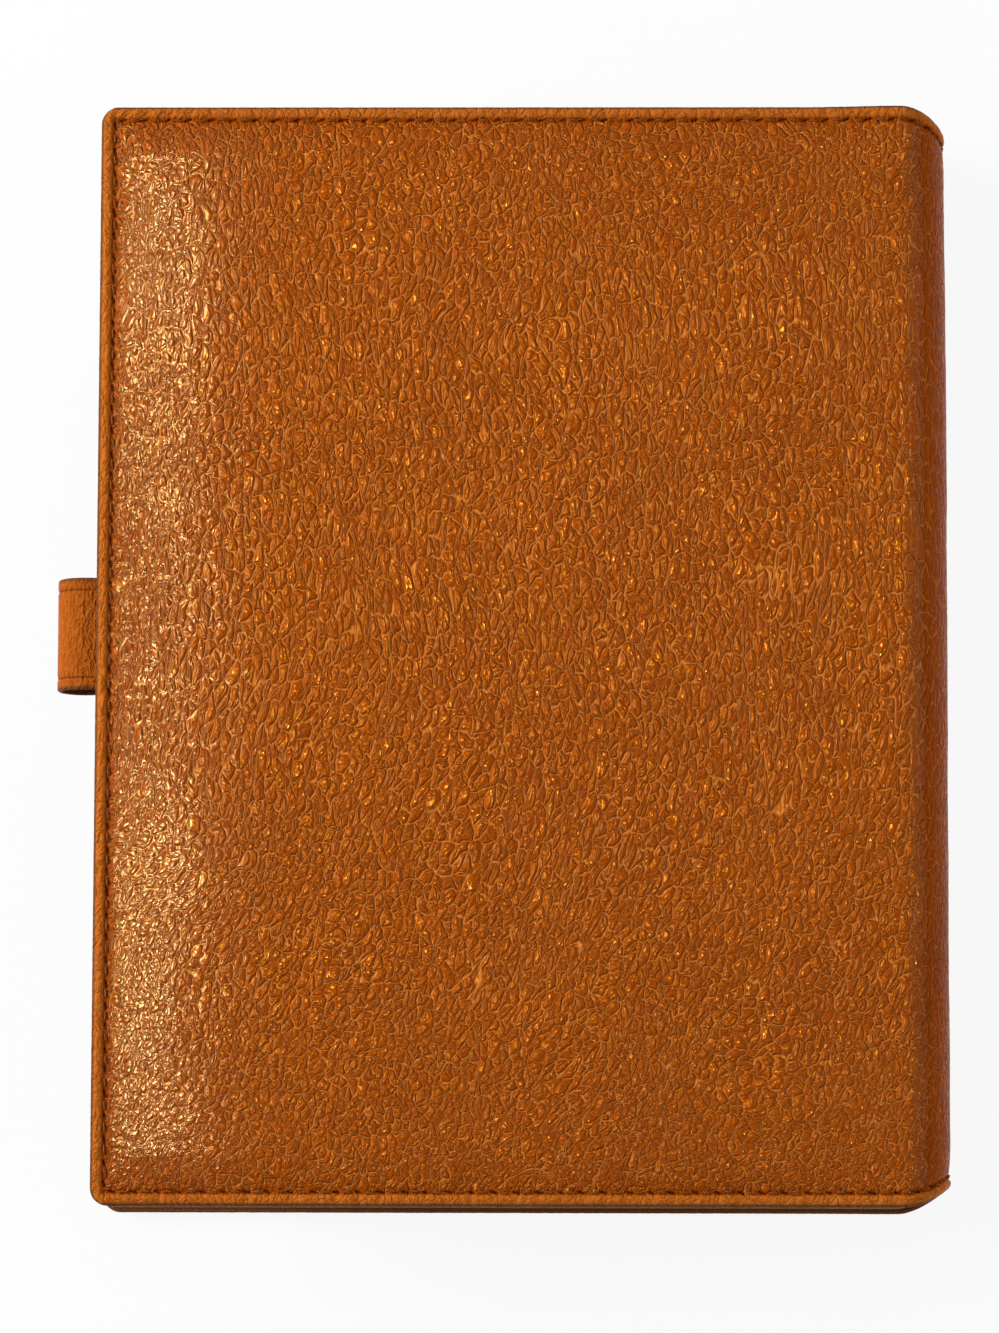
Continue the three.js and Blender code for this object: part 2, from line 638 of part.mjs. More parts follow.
// Leaves. low and high are a layer's distances from the middle of the rings.
const holeReach = (level) => Math.sqrt(HOLE_CIRCLE ** 2 - level ** 2);

function ringHoles() {
  const holes = RING_Y.map((y) => {
    const channel = new THREE.TorusGeometry(HOLE_CIRCLE, HOLE_RADIUS, 12, 40);
    return toSolid(channel.rotateX(Math.PI / 2).translate(RING_X, y, HALF_THICKNESS));
  });
  return holes.reduce((joined, hole) => joined.add(hole));
}

const punched = ringHoles();

function leafLayer({ side, low, high, width = PAGE_WIDTH, half = PAGE_HEIGHT / 2, overhang = 0, tab }) {
  const steps = Math.max(1, Math.round((high - low) / 0.9));
  const levels = Array.from({ length: steps + 1 }, (_, i) => low + (high - low) * i / steps);
  const punchedEdge = (level) => RING_X - holeReach(level) + HOLE_EDGE;
  const place = (x, level) => new THREE.Vector2(x, HALF_THICKNESS + side * level);
  const outline = new THREE.Shape([
    ...levels.map((level) => place(punchedEdge(level), level)),
    ...levels.map((level) => place(punchedEdge(level) - width, level)).reverse(),
  ]);
  let sheet = toSolid(prismAlongY(outline, -half, half + overhang));
  if (tab !== undefined) {
    const fore = punchedEdge(low) - width;
    const bottom = HALF_THICKNESS + side * (side > 0 ? low : high);
    sheet = sheet.add(toSolid(box(
      fore - TAB_REACH, fore + 1, tab - TAB_HEIGHT / 2, tab + TAB_HEIGHT / 2,
      bottom, bottom + high - low,
    )));
  }
  return toGeometry(sheet.subtract(punched));
}

function leaves() {
  const group = new THREE.Group();
  const flyleafLow = LEAF_HALF - FLYLEAF;
  const halfGap = SHEET_GAP / 2;
  const rulerHigh = halfGap + RULER;
  group.add(piece('page_marker', leafLayer({
    side: -1, low: halfGap, high: rulerHigh, width: RULER_WIDTH, overhang: RULER_OVERHANG,
  }), CLEAR_SHEET));
  group.add(piece('early_pages', leafLayer({
    side: -1, low: rulerHigh + SHEET_GAP, high: flyleafLow - SHEET_GAP,
  }), PAPER));
  const stack = [
    ['address_pages', ADDRESS_PAGES, PAPER],
    ['address_divider', DIVIDER, CARD, -0.28 * PAGE_HEIGHT],
    ['note_pages', NOTE_PAGES, PAPER],
    ['note_divider', DIVIDER, CARD, 0.05 * PAGE_HEIGHT],
  ];
  let high = flyleafLow - SHEET_GAP;
  for (const [name, thickness, surface, tab] of stack) {
    const low = high - thickness;
    group.add(piece(name, leafLayer({ side: 1, low, high, tab }), surface));
    high = low - SHEET_GAP;
  }
  group.add(piece('late_pages', leafLayer({ side: 1, low: halfGap, high }), PAPER));
  for (const [cover, side] of [['front', -1], ['back', 1]]) {
    group.add(piece(`${cover}_flyleaf`, leafLayer({ side, low: flyleafLow, high: LEAF_HALF }), CLEAR_SHEET));
  }
  return group;
}

const agendaBook = new THREE.Group();
agendaBook.add(frontCover(), spine(), ringMechanism(), leaves(), backCover());

export default agendaBook;
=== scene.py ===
"""The looks of a closed padded leather agenda book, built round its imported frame.

Lengths are in millimetres until mesh_object turns them into metres. A cover is drawn lying flat,
with its lining face at height 0 and its leather up, and is then placed as the front or back cover.
"""
import math

import bpy
import numpy as np
from mathutils import Matrix, Vector

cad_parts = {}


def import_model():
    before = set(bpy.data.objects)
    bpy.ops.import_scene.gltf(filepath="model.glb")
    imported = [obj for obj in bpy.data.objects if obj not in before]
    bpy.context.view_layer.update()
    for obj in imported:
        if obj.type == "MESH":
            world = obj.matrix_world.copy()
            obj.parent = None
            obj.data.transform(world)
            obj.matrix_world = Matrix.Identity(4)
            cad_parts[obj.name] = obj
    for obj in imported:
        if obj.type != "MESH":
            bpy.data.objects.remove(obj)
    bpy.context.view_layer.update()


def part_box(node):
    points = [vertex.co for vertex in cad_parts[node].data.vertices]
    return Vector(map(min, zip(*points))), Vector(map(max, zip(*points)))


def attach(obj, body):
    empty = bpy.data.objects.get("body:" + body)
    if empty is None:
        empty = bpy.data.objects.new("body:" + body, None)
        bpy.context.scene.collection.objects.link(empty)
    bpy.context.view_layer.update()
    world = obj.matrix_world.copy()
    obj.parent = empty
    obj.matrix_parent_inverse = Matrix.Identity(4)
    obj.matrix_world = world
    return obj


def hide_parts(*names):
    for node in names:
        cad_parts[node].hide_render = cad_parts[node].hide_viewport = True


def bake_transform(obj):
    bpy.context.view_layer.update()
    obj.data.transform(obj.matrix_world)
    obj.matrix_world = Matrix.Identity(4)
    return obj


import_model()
MM = 0.001


def corners(node):
    """Lowest and highest corner of a node, in millimetres."""
    low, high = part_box(node)
    return np.array(low) / MM, np.array(high) / MM


# Sizes that the frame gives
FORE_X = corners("back_outer_leather")[0][0]
SPINE_X = corners("spine_leather")[1][0]
HALF_HEIGHT = corners("back_outer_leather")[1][1]
THICKNESS = corners("back_outer_leather")[1][2]
MID = THICKNESS / 2
COVER = THICKNESS - corners("back_lining")[0][2]
SPINE_INSIDE = corners("spine_lining")[0][0]
SPINE_FLAT = (corners("spine_lining")[1][2] - corners("spine_lining")[0][2]) / 2
LINING = corners("spine_lining")[1][0] - SPINE_INSIDE
LINING_INSET = corners("back_lining")[0][0] - FORE_X
GLUE_LINE = 0.1
FOLD_X = corners("back_board")[1][0] + GLUE_LINE
FOLD_REACH = SPINE_X - FOLD_X

# Turned edge of the outer leather, which is thinner at the fold, and how far it is turned in
BORDER = 1.6
FOLD_BORDER = 1.3
BORDER_WIDTH = 3.0
BORDER_SWELL = 0.34
EDGE_ROLL = 1.2
UNDER_ROLL = 0.5
RIM_SHARE = 0.45
TURN_IN = (1.1, 2.1)
CORNER_RADIUS = 3.0

# Padding: rise of the crown over the border, and the runs over which it swells
CROWN = 1.3
FOLD_DROP = 0.3
FOLD_RUN = 16
CROWN_RUN_FORE = 22
CROWN_RUN_END = 9
LOOSE_RUN = (2.5, 12)
GRAIN_ROOM = 0.16

# How far the ends of the spine are drawn in
HEAD_TUCK = 2.2
TAIL_TUCK = 3.4

# Seam round the covers: its needle slits, its groove, the puckers of the border and the threads
STITCH_INSET = 2.35
STITCH_PITCH = 3.7
SEAM_START = STITCH_INSET - 0.4
BORDER_SWELL_WIDTH = STITCH_INSET - 0.2
NEEDLE_STRAY = (0.4, 3.3, 51)
GROOVE_WIDTH = 0.5
GROOVE_DEPTH = 0.27
SLIT_SLANT = 0.3
SLIT_LENGTH = 0.8
SLIT_WIDTH = 0.28
SLIT_DEPTH = 0.2
PUCKER_WIDTH = 0.55
PUCKER_DEPTH = 0.22
THREAD_WIDTH = 0.42
THREAD_RISE = 0.14
THREAD_SLANT = 0.12
END_STITCH_STRAY = 0.1
FORE_STITCH_STRAY = 0.08
OUTER_STITCH = 0.82
OUTER_STITCH_LEVEL = -GRAIN_ROOM - 0.13
INNER_STITCH = 1.15
INNER_STITCH_LEVEL = 0.14

# Seams of the pocket panels
PANEL_SEAM_INSET = 1.5
PANEL_STITCH_PITCH = 2.6
PANEL_STITCH = 1.9
PANEL_THREAD_WIDTH = 0.34
PANEL_THREAD_SINK = 0.06
PANEL_STITCH_STRAY = 0.07

# Smooth random waves: height, size across and seed
LOOSE_WAVES = ((0.14, 19, 3), (0.08, 7, 4))
CRINKLE_WAVES = ((0.1, 1.7, 5), (0.08, 0.9, 6))
PATCH_WAVES = ((4.2, 9, 21),)
LINING_WAVES = ((0.05, 13, 31),)
PEBBLE_DRIFT_ACROSS = ((2.2, 17, 11),)
PEBBLE_DRIFT_ALONG = ((3.0, 23, 12),)

# Pebbles of the grain: their length at some heights on the cover, their width and lean
PEBBLE_Y = (-92, -60, -25, 50, 80, 92)
PEBBLE_LENGTH = (1.8, 2.1, 3.0, 3.2, 2.5, 2.2)
PEBBLE_WIDTH = 1.5
PEBBLE_LEAN = 0.2
LEAN_RUN = (20, -60)
GRAIN_DEPTH = 0.075

# Finish of the outer leather: relief in its shading, its shine and its polish near the fore edge
GRAIN_RELIEF = 0.44
TOP_ROUGHNESS = 0.15
CREASE_ROUGHNESS = 0.32
GRAIN_SHINE = 0.22
CALM_SHINE = 0.007
POLISH_WEIGHT = 0.09
POLISH_ROUGHNESS = 0.1
POLISH_RELIEF = 0.032

# Shares of grain on spine and border, and of fine grain near the fore edge and the tail
SPINE_CALM = 0.45
BORDER_GRAIN = 0.4
FINE_FORE = 0.9
FINE_TAIL = 0.25

# Where the surface changes: start and end of each change from an edge, the fold or the middle
SPINE_FADE = (1.5, 7)
BORDER_FADE = (1.9, 2.8)
FINE_FROM_FORE = (19, 9)
FINE_TO_TAIL = (-70, -90)
POLISH_FROM_FORE = (34, 12)
POLISH_FROM_RIM = (1.5, 5)
RIM_DARKENING = (0.8, 0.1)
BORDER_HIGHLIGHT = (2.1, 1.7)

# Mesh of the outer leather: steps near the edges, where they end and the grid starts
EDGE_STEP = 0.2
EDGE_END = 3.6
GRID_START = 3.7
GRID = 0.42

# Lining: its course in the gutters, its mesh, its seam and its slack
GUTTER_DEPTH = 1.5
GUTTER_RISE = 0.5
GUTTER_SINK = 0.45
LINING_STEP = 0.15
LINING_EDGE_END = 2.6
LINING_GRID_START = 2.7
LINING_GRID = (0.8, 1.2)
LINING_SEAM_WIDTH = 0.35
LINING_SEAM_DEPTH = 0.16
LINING_SLACK = 0.05
LINING_LOOSE_RUN = (2, 9)

# Pen loop: its thickness, the line of its turned edge, its surface, and its place
STRAP = 1.0
STRAP_SEAM_INSET = 2.1
STRAP_SEAM_WIDTH = 0.3
STRAP_SEAM_DEPTH = 0.16
STRAP_SEAM_SHADE = 0.62
STRAP_RUMPLES = ((0.12, 3.2, 41),)
STRAP_RUMPLE_STRETCH = 0.4
STRAP_PEBBLE = (1.1, 2.6)
STRAP_GRAIN = 0.25
STRAP_FINE = 0.6
STRAP_BORDER = 0.5
STRAP_DARKENING = 0.28
STRAP_RIM_DARKENING = 0.6
STRAP_RIM = (0.9, 0.2)
LOOP_LEAN = 50
LOOP_OUT = 0.7

# Ring wires: half the gap at the tips, their rounding in rows, and how far they enter the rails
RING_TIP_GAP = 0.12
RING_TIP_RUN = 1.5
RING_TIP_LEAST = 0.3
RING_FOOT = 0.05

# Rounding of the edges of metal parts and panels
PLATE_EDGE = 0.22
LEVER_EDGE = 0.35
RIVET_EDGE = 0.15
PANEL_EDGE = 0.3

# Printed rules on the pages and ticks on the marker sheet
RULE_PITCH = 6.5
RULE_WIDTH = 0.22
RULE_MARGIN = 5
RULE_HEADER = 14
HOLE_MARGIN = 13
TICK_START = 1
TICKS = ((1, 1.8), (5, 2.8), (10, 4.2))

random = np.random.default_rng(7)


# Meshes
def in_scene(name, data):
    """A new object in the scene."""
    made = bpy.data.objects.new(name, data)
    bpy.context.scene.collection.objects.link(made)
    return made


def mesh_object(name, points, faces, surface, smooth=True):
    """A mesh from points in millimetres and lists of corner numbers."""
    mesh = bpy.data.meshes.new(name)
    points = np.asarray(points, float).reshape(-1, 3) * MM
    if isinstance(faces, np.ndarray):
        sides = faces.shape[1]
        mesh.vertices.add(len(points))
        mesh.vertices.foreach_set("co", points.ravel())
        mesh.loops.add(faces.size)
        mesh.loops.foreach_set("vertex_index", faces.astype(np.int32).ravel())
        mesh.polygons.add(len(faces))
        mesh.polygons.foreach_set("loop_start", np.arange(0, faces.size, sides, dtype=np.int32))
        mesh.update(calc_edges=True)
    else:
        mesh.from_pydata(points.tolist(), [], faces)
    mesh.validate()
    mesh.polygons.foreach_set("use_smooth", [smooth] * len(mesh.polygons))
    mesh.materials.append(surface)
    return in_scene(name, mesh)


def point_values(piece, name, values, kind="FLOAT"):
    """Stores one number or vector per point for the materials to read."""
    attribute = piece.data.attributes.new(name, kind, "POINT")
    field = "value" if kind == "FLOAT" else "vector"
    attribute.data.foreach_set(field, np.ravel(values).astype(np.float32))


def grid_faces(rows, columns, closed=False):
    """Quads of a grid whose points are stored row by row."""
    last = columns if closed else columns - 1
    i, j = np.meshgrid(np.arange(rows - 1), np.arange(last), indexing="ij")
    after = (j + 1) % columns
    below = (i + 1) * columns
    quads = np.stack([i * columns + j, below + j, below + after, i * columns + after], -1)
    return quads.reshape(-1, 4)


class Parts:
    """Collects several small closed pieces into one mesh."""

    def __init__(self):
        self.points, self.quads, self.count = [], [], 0

    def add(self, points, quads):
        """Adds one piece."""
        self.points.append(points.reshape(-1, 3))
        self.quads.append(quads + self.count)
        self.count += len(self.points[-1])

    def build(self, name, surface):
        """One mesh of all the pieces."""
        return mesh_object(name, np.concatenate(self.points), np.concatenate(self.quads), surface)


def smoothstep(start, end, value):
    """Rises smoothly from 0 at the start to 1 at the end, which may also be the lower of the two."""
    t = np.clip((value - start) / (end - start), 0, 1)
    return t * t * (3 - 2 * t)


def waves(x, y, size, seed):
    """Smooth random field from -1 to 1 whose bumps are about size across."""
    lattice = np.random.default_rng(seed).uniform(-1, 1, (64, 64))
    u, v = np.asarray(x) / size + 31, np.asarray(y) / size + 31
    i, j = np.floor(u).astype(int), np.floor(v).astype(int)
    s, t = smoothstep(0, 1, u - i), smoothstep(0, 1, v - j)
    at = lambda a, b: lattice[a % 64, b % 64]
    near = at(i, j) * (1 - s) + at(i + 1, j) * s
    far = at(i, j + 1) * (1 - s) + at(i + 1, j + 1) * s
    return near * (1 - t) + far * t


def layered(x, y, layers):
    """Sum of several smooth random fields, each given by its height, size and seed."""
    return sum(height * waves(x, y, size, seed) for height, size, seed in layers)


# Materials
class Net:
    """Adds nodes to a tree; an input takes a socket or a plain value."""

    def __init__(self, tree):
        tree.nodes.clear()
        self.tree, self.shader, self.output = tree, None, None

    def node(self, kind, inputs=None, **settings):
        """A new node with its inputs and settings."""
        made = self.tree.nodes.new(kind)
        for key, value in settings.items():
            setattr(made, key, value)
        for key, value in (inputs or {}).items():
            if isinstance(value, bpy.types.NodeSocket):
                self.tree.links.new(value, made.inputs[key])
            else:
                made.inputs[key].default_value = value
        return made

    def math(self, operation, a, b=0.0):
        """The result of one operation on two numbers."""
        return self.node("ShaderNodeMath", {0: a, 1: b}, operation=operation).outputs[0]

    def times(self, a, b):
        """The product of two numbers."""
        return self.math("MULTIPLY", a, b)

    def ramp(self, value, start, end, low=0.0, high=1.0):
        """Goes smoothly from low at the start to high at the end."""
        inputs = {"Value": value, "From Min": start, "From Max": end, "To Min": low, "To Max": high}
        made = self.node("ShaderNodeMapRange", inputs, interpolation_type="SMOOTHSTEP")
        return made.outputs["Result"]

    def mix(self, share, a, b):
        """Mixes two numbers."""
        return self.node("ShaderNodeMix", {0: share, 2: a, 3: b}).outputs[0]

    def tint(self, share, a, b):
        """Mixes two colours."""
        return self.node("ShaderNodeMix", {0: share, 6: a, 7: b}, data_type="RGBA").outputs[2]

    def noise(self, place, scale, detail=2.0, roughness=0.5):
        """Smooth noise from 0 to 1."""
        inputs = {"Vector": place, "Scale": scale, "Detail": detail, "Roughness": roughness}
        return self.node("ShaderNodeTexNoise", inputs).outputs["Fac"]

    def here(self):
        """The place on the object, in metres."""
        return self.node("ShaderNodeTexCoord").outputs["Object"]

    def axes(self, vector):
        """A vector's three numbers."""
        return self.node("ShaderNodeSeparateXYZ", {0: vector}).outputs

    def edges(self, place):
        """Distance to the nearest border between cells, which are about 1 across."""
        made = self.node("ShaderNodeTexVoronoi", {"Vector": place, "Scale": 1.0},
                         voronoi_dimensions="2D", feature="DISTANCE_TO_EDGE")
        return made.outputs["Distance"]

    def cells(self, place):
        """A random number for each cell."""
        made = self.node("ShaderNodeTexVoronoi", {"Vector": place, "Scale": 1.0},
                         voronoi_dimensions="2D")
        return self.axes(made.outputs["Color"])[0]

    def looked_at(self):
        """1 on rays from the camera, on reflected rays and on rays that pass through glass."""
        path = self.node("ShaderNodeLightPath").outputs
        mirrored = self.math("MAXIMUM", path["Is Glossy Ray"], path["Is Transmission Ray"])
        return self.math("MAXIMUM", path["Is Camera Ray"], mirrored)

    def vector(self, operation, a, b):
        """The result of one operation on two vectors."""
        return self.node("ShaderNodeVectorMath", {0: a, 1: b}, operation=operation).outputs[0]

    def scaled(self, place, factors):
        """A place stretched along each axis."""
        return self.vector("MULTIPLY", place, factors)

    def nudged(self, place, scale, reach):
        """A place moved about by noise."""
        inputs = {"Vector": place, "Scale": scale, "Detail": 0.0}
        stray = self.node("ShaderNodeTexNoise", inputs).outputs["Color"]
        shift = self.vector("SUBTRACT", stray, (0.5,) * 3)
        return self.vector("ADD", self.scaled(shift, (reach,) * 3), place)

    def link(self, socket, name):
        """Leads a result into one of the shader's inputs."""
        self.tree.links.new(socket, self.shader.inputs[name])

    def bump(self, height, depth, name="Normal"):
        """Raises the surface by depth millimetres where height is 1."""
        made = self.node("ShaderNodeBump", {"Height": height, "Distance": depth * MM})
        self.link(made.outputs[0], name)


def material(name, **fixed):
    """A new material and its net, with the shader's plain values in fixed."""
    made = bpy.data.materials.new(name)
    made.use_nodes = True
    net = Net(made.node_tree)
    plain = {key.replace("_", " "): value for key, value in fixed.items()}
    net.shader = net.node("ShaderNodeBsdfPrincipled", plain)
    net.output = net.node("ShaderNodeOutputMaterial", {"Surface": net.shader.outputs[0]})
    return made, net


def pebbles(net, place, fine):
    """Pebbled grain: its height, the depth of its creases and a shade for each pebble.

    place counts in pebbles, and fine turns long pebbles into small round ones.
    """
    moved = net.nudged(net.nudged(place, 0.8, 0.8), 2.4, 0.34)
    long_edge = net.edges(moved)
    small = net.scaled(moved, (1.5, 2.2, 1.0))
    small_edge = net.edges(small)
    veins = net.edges(net.nudged(net.scaled(place, (0.26, 0.17, 1.0)), 1.6, 0.7))
    uneven = net.ramp(net.noise(place, 0.5), 0.34, 0.6, 0.4, 1.0)
    patchy = net.ramp(net.noise(place, 0.8), 0.4, 0.62, 0.06, 0.5)
    long_crease = net.times(net.ramp(long_edge, 0.0, 0.17, 1.0, 0.0), uneven)
    small_share = net.mix(fine, patchy, 0.5)
    small_crease = net.times(net.ramp(small_edge, 0.0, 0.2, 1.0, 0.0), small_share)
    long_crease = net.times(long_crease, net.mix(fine, 1.0, 0.6))
    crease = net.math("MAXIMUM", long_crease, small_crease)
    crease = net.math("MAXIMUM", crease, net.ramp(veins, 0.0, 0.022, 0.8, 0.0))
    dome = net.times(net.ramp(long_edge, 0.0, 0.45), net.mix(fine, 0.3, 0.2))
    bead = net.times(net.ramp(small_edge, 0.0, 0.45), net.mix(fine, 0.08, 0.35))
    grit = net.times(net.noise(place, 3.2, 1.0), 0.25)
    height = net.math("ADD", net.math("SUBTRACT", net.math("ADD", dome, bead), crease), grit)
    return height, crease, net.cells(moved)


# Colours
DEEP = (0.17, 0.032, 0.001, 1)
COGNAC = (0.34, 0.055, 0.0001, 1)
AMBER = (0.38, 0.067, 0.0001, 1)
# Tone of the painted highlight in the creases and on the border's roll
HONEY = (0.7, 0.21, 0.03, 1)
RULE_GREY = (0.25, 0.27, 0.3, 1)
WARM_GLOSS = (1, 0.55, 0.14, 1)
EDGE_BROWN = (0.17, 0.06, 0.018, 1)
# Painted shade in needle slits and along the pen loop's seam line
SLIT = (0.1, 0.018, 0.003, 1)
THREAD_TONES = (0.15, 0.035, 0.005, 1), (0.34, 0.1, 0.016, 1)
LINING_TONES = (0.21, 0.082, 0.024, 1), (0.27, 0.112, 0.036, 1)
PORE = (0.1, 0.035, 0.01, 1)
NICKEL_TONES = (0.62, 0.63, 0.64, 1), (0.76, 0.765, 0.77, 1)
CREAM_TONES = (0.83, 0.79, 0.68, 1), (0.5, 0.46, 0.37, 1)
NOTE_TONES = (0.86, 0.85, 0.81, 1), (0.55, 0.54, 0.5, 1)
CARD_TONES = (0.62, 0.47, 0.25, 1), (0.42, 0.29, 0.13, 1)
MARKER_TONES = (0.72, 0.55, 0.3, 1), (0.8, 0.63, 0.37, 1)
TICK_BROWN = (0.05, 0.03, 0.02, 1)
FROST_TONES = (0.86, 0.88, 0.89, 1), (0.94, 0.95, 0.955, 1)
BOARD_TONES = (0.18, 0.165, 0.14, 1), (0.36, 0.335, 0.29, 1)
FLOOR_TONES = (0.925, 0.925, 0.92, 1), (0.935, 0.935, 0.93, 1)
WHITE = (1, 1, 1, 1)
WARM_LAMP = (1, 0.75, 0.3)


def outer_leather():
    """Pebbled leather, with painted highlight in its creases and border and painted shade in its slits.

    The skin and the pen loop tell it where it is grainy, fine, polished or pierced, and where its rim
    is darker.
    """
    made, net = material(
        "outer_leather", Specular_Tint=WARM_GLOSS, Coat_Roughness=POLISH_ROUGHNESS)
    place = net.node("ShaderNodeAttribute", attribute_name="skin").outputs["Vector"]
    value = lambda name: net.node("ShaderNodeAttribute", attribute_name=name).outputs["Fac"]
    strength, fine, rim, slit = map(value, ("grain", "fine", "rim", "slit"))
    height, crease, shade = pebbles(net, place, fine)
    cloudy = net.noise(place, 0.11, 3.0)
    colour = net.tint(net.ramp(cloudy, 0.2, 0.8), COGNAC, AMBER)
    colour = net.tint(net.ramp(shade, 0.3, 1.0, 0.0, 0.14), colour, DEEP)
    # Painted highlight: creases are paled towards honey where their walls would catch the light
    crease_highlight = net.times(net.ramp(crease, 0.35, 0.75, 0.0, 0.62), strength)
    colour = net.tint(crease_highlight, colour, HONEY)
    # Painted highlight on the turned border's roll; on the pen loop the same tint pales the whole strap
    # evenly
    colour = net.tint(net.times(value("border"), 0.5), colour, HONEY)
    # Darker towards the very edge and on the rolled edge beneath it
    colour = net.tint(net.ramp(rim, 0.1, 0.9), colour, EDGE_BROWN)
    # Painted shade in the needle slits and along the pen loop's creased seam line
    colour = net.tint(net.ramp(slit, 0.25, 0.7), colour, SLIT)
    net.link(colour, "Base Color")
    wrinkles = net.noise(net.scaled(place, (1.5, 1.1, 1.0)), 1.1, 1.0)
    ridges = net.times(net.ramp(wrinkles, 0.35, 0.65), net.mix(fine, 0.15, 0.6))
    raised = net.times(net.math("ADD", height, ridges), net.mix(strength, 0.25, 1.0))
    net.bump(raised, GRAIN_RELIEF)
    glossy_tops = net.math("SUBTRACT", net.times(raised, 0.12), crease)
    net.bump(glossy_tops, POLISH_RELIEF, "Coat Normal")
    net.link(net.times(value("polish"), POLISH_WEIGHT), "Coat Weight")
    net.link(net.ramp(crease, 0.0, 1.0, TOP_ROUGHNESS, CREASE_ROUGHNESS), "Roughness")
    shine = net.ramp(strength, 0.72, 1.0, CALM_SHINE, GRAIN_SHINE)
    net.link(shine, "Specular IOR Level")
    return made


def thread():
    """Waxed thread with its twist."""
    made, net = material("thread", Roughness=0.7, Specular_IOR_Level=0.05)
    wave = {"Vector": net.here(), "Scale": 900.0, "Distortion": 1.0}
    twist = net.node("ShaderNodeTexWave", wave).outputs["Fac"]
    net.link(net.tint(twist, *THREAD_TONES), "Base Color")
    net.bump(twist, 0.08)
    return made


def lining_leather():
    """Smooth brown leather with fine pores."""
    made, net = material("lining_leather", Roughness=0.55, Specular_IOR_Level=0.4)
    place = net.here()
    pattern = {"Vector": net.nudged(place, 900.0, 0.0008), "Scale": 1500.0}
    fine = net.node("ShaderNodeTexVoronoi", pattern, feature="DISTANCE_TO_EDGE").outputs["Distance"]
    pores = net.ramp(fine, 0.0, 0.14, 1.0, 0.0)
    cloudy = net.noise(place, 22.0, 4.0)
    colour = net.tint(net.ramp(cloudy, 0.3, 0.7), *LINING_TONES)
    colour = net.tint(net.times(pores, 0.5), colour, PORE)
    net.link(colour, "Base Color")
    net.bump(net.math("SUBTRACT", net.times(cloudy, 1.4), pores), 0.07)
    net.link(net.ramp(cloudy, 0.2, 0.8, 0.46, 0.64), "Roughness")
    return made


def nickel():
    """Plated metal, lightly brushed and smudged."""
    made, net = material("nickel", Metallic=1.0, Roughness=0.2)
    place = net.here()
    smudge = net.noise(place, 160.0, 4.0)
    brushed = net.noise(net.scaled(place, (3000.0, 90.0, 3000.0)), 1.0, 2.0)
    net.link(net.tint(smudge, *NICKEL_TONES), "Base Color")
    net.link(net.ramp(smudge, 0.3, 0.8, 0.13, 0.27), "Roughness")
    net.bump(brushed, 0.006)
    return made


def stripes(net, along, pitch, width):
    """1 on lines of a width that repeat at a pitch, both in millimetres, along one coordinate."""
    share = net.math("FRACT", net.times(along, 1 / (pitch * MM)))
    return net.math("LESS_THAN", share, width / pitch)


def paper(name, tones, rough=0.85, ruled=True):
    """Sheets of paper whose cut edges show as fine lines, with ruled lines on their faces."""
    pale, shade = tones
    made, net = material(name, Specular_IOR_Level=0.25, Roughness=rough)
    place = net.here()
    sheet = net.noise(net.scaled(place, (60.0, 60.0, 9000.0)), 1.0, 2.0, 0.7)
    fibre = net.noise(place, 2500.0, 3.0)
    level = net.axes(net.node("ShaderNodeTexCoord").outputs["Normal"])[2]
    on_edge = net.ramp(net.math("ABSOLUTE", level), 0.4, 0.8, 1.0, 0.0)
    cut = net.times(net.ramp(sheet, 0.35, 0.65), on_edge)
    colour = net.tint(net.times(cut, 0.75), pale, shade)
    colour = net.tint(net.times(fibre, 0.12), colour, shade)
    if ruled:
        x, y = net.axes(place)[:2]
        low, high = corners("early_pages")
        lines = stripes(net, y, RULE_PITCH, RULE_WIDTH)
        for way, across, limit in (("GREATER_THAN", x, low[0] + RULE_MARGIN),
                                   ("LESS_THAN", x, high[0] - HOLE_MARGIN),
                                   ("LESS_THAN", y, high[1] - RULE_HEADER),
                                   ("GREATER_THAN", y, low[1] + RULE_MARGIN)):
            lines = net.times(lines, net.math(way, across, limit * MM))
        lines = net.times(lines, net.math("SUBTRACT", 1.0, on_edge))
        colour = net.tint(net.times(lines, 0.6), colour, RULE_GREY)
    net.link(colour, "Base Color")
    net.bump(net.mix(on_edge, fibre, sheet), 0.03)
    return made


def ruler_sheet():
    """A tinted marker sheet with plain ticks along its fore edge."""
    made, net = material("ruler_sheet", IOR=1.46, Transmission_Weight=0.6, Roughness=0.25)
    place = net.here()
    x, y = net.axes(place)[:2]
    edge = corners("page_marker")[0][0]
    ticks = 0.0
    for pitch, length in TICKS:
        near = net.math("LESS_THAN", x, (edge + TICK_START + length) * MM)
        lines = net.times(stripes(net, y, pitch, RULE_WIDTH), near)
        ticks = net.math("MAXIMUM", ticks, lines)
    inside = net.math("GREATER_THAN", x, (edge + TICK_START) * MM)
    ticks = net.times(ticks, inside)
    grain = net.noise(place, 1500.0, 2.0)
    tone = net.tint(grain, *MARKER_TONES)
    net.link(net.tint(ticks, tone, TICK_BROWN), "Base Color")
    net.link(net.math("SUBTRACT", 0.6, net.times(ticks, 0.6)), "Transmission Weight")
    net.bump(grain, 0.01)
    return made


def frosted_sheet():
    """Frosted clear sheet."""
    made, net = material("frosted_sheet", IOR=1.46, Transmission_Weight=0.75)
    grain = net.noise(net.here(), 1800.0, 3.0)
    net.link(net.tint(grain, *FROST_TONES), "Base Color")
    net.link(net.ramp(grain, 0.2, 0.8, 0.34, 0.48), "Roughness")
    net.bump(grain, 0.01)
    return made


def greyboard():
    """Pressed grey board, fibrous in its layers."""
    made, net = material("greyboard", Roughness=0.92)
    fibre = net.noise(net.scaled(net.here(), (1.0, 1.0, 5.0)), 900.0, 4.0)
    net.link(net.tint(fibre, *BOARD_TONES), "Base Color")
    net.bump(fibre, 0.06)
    return made


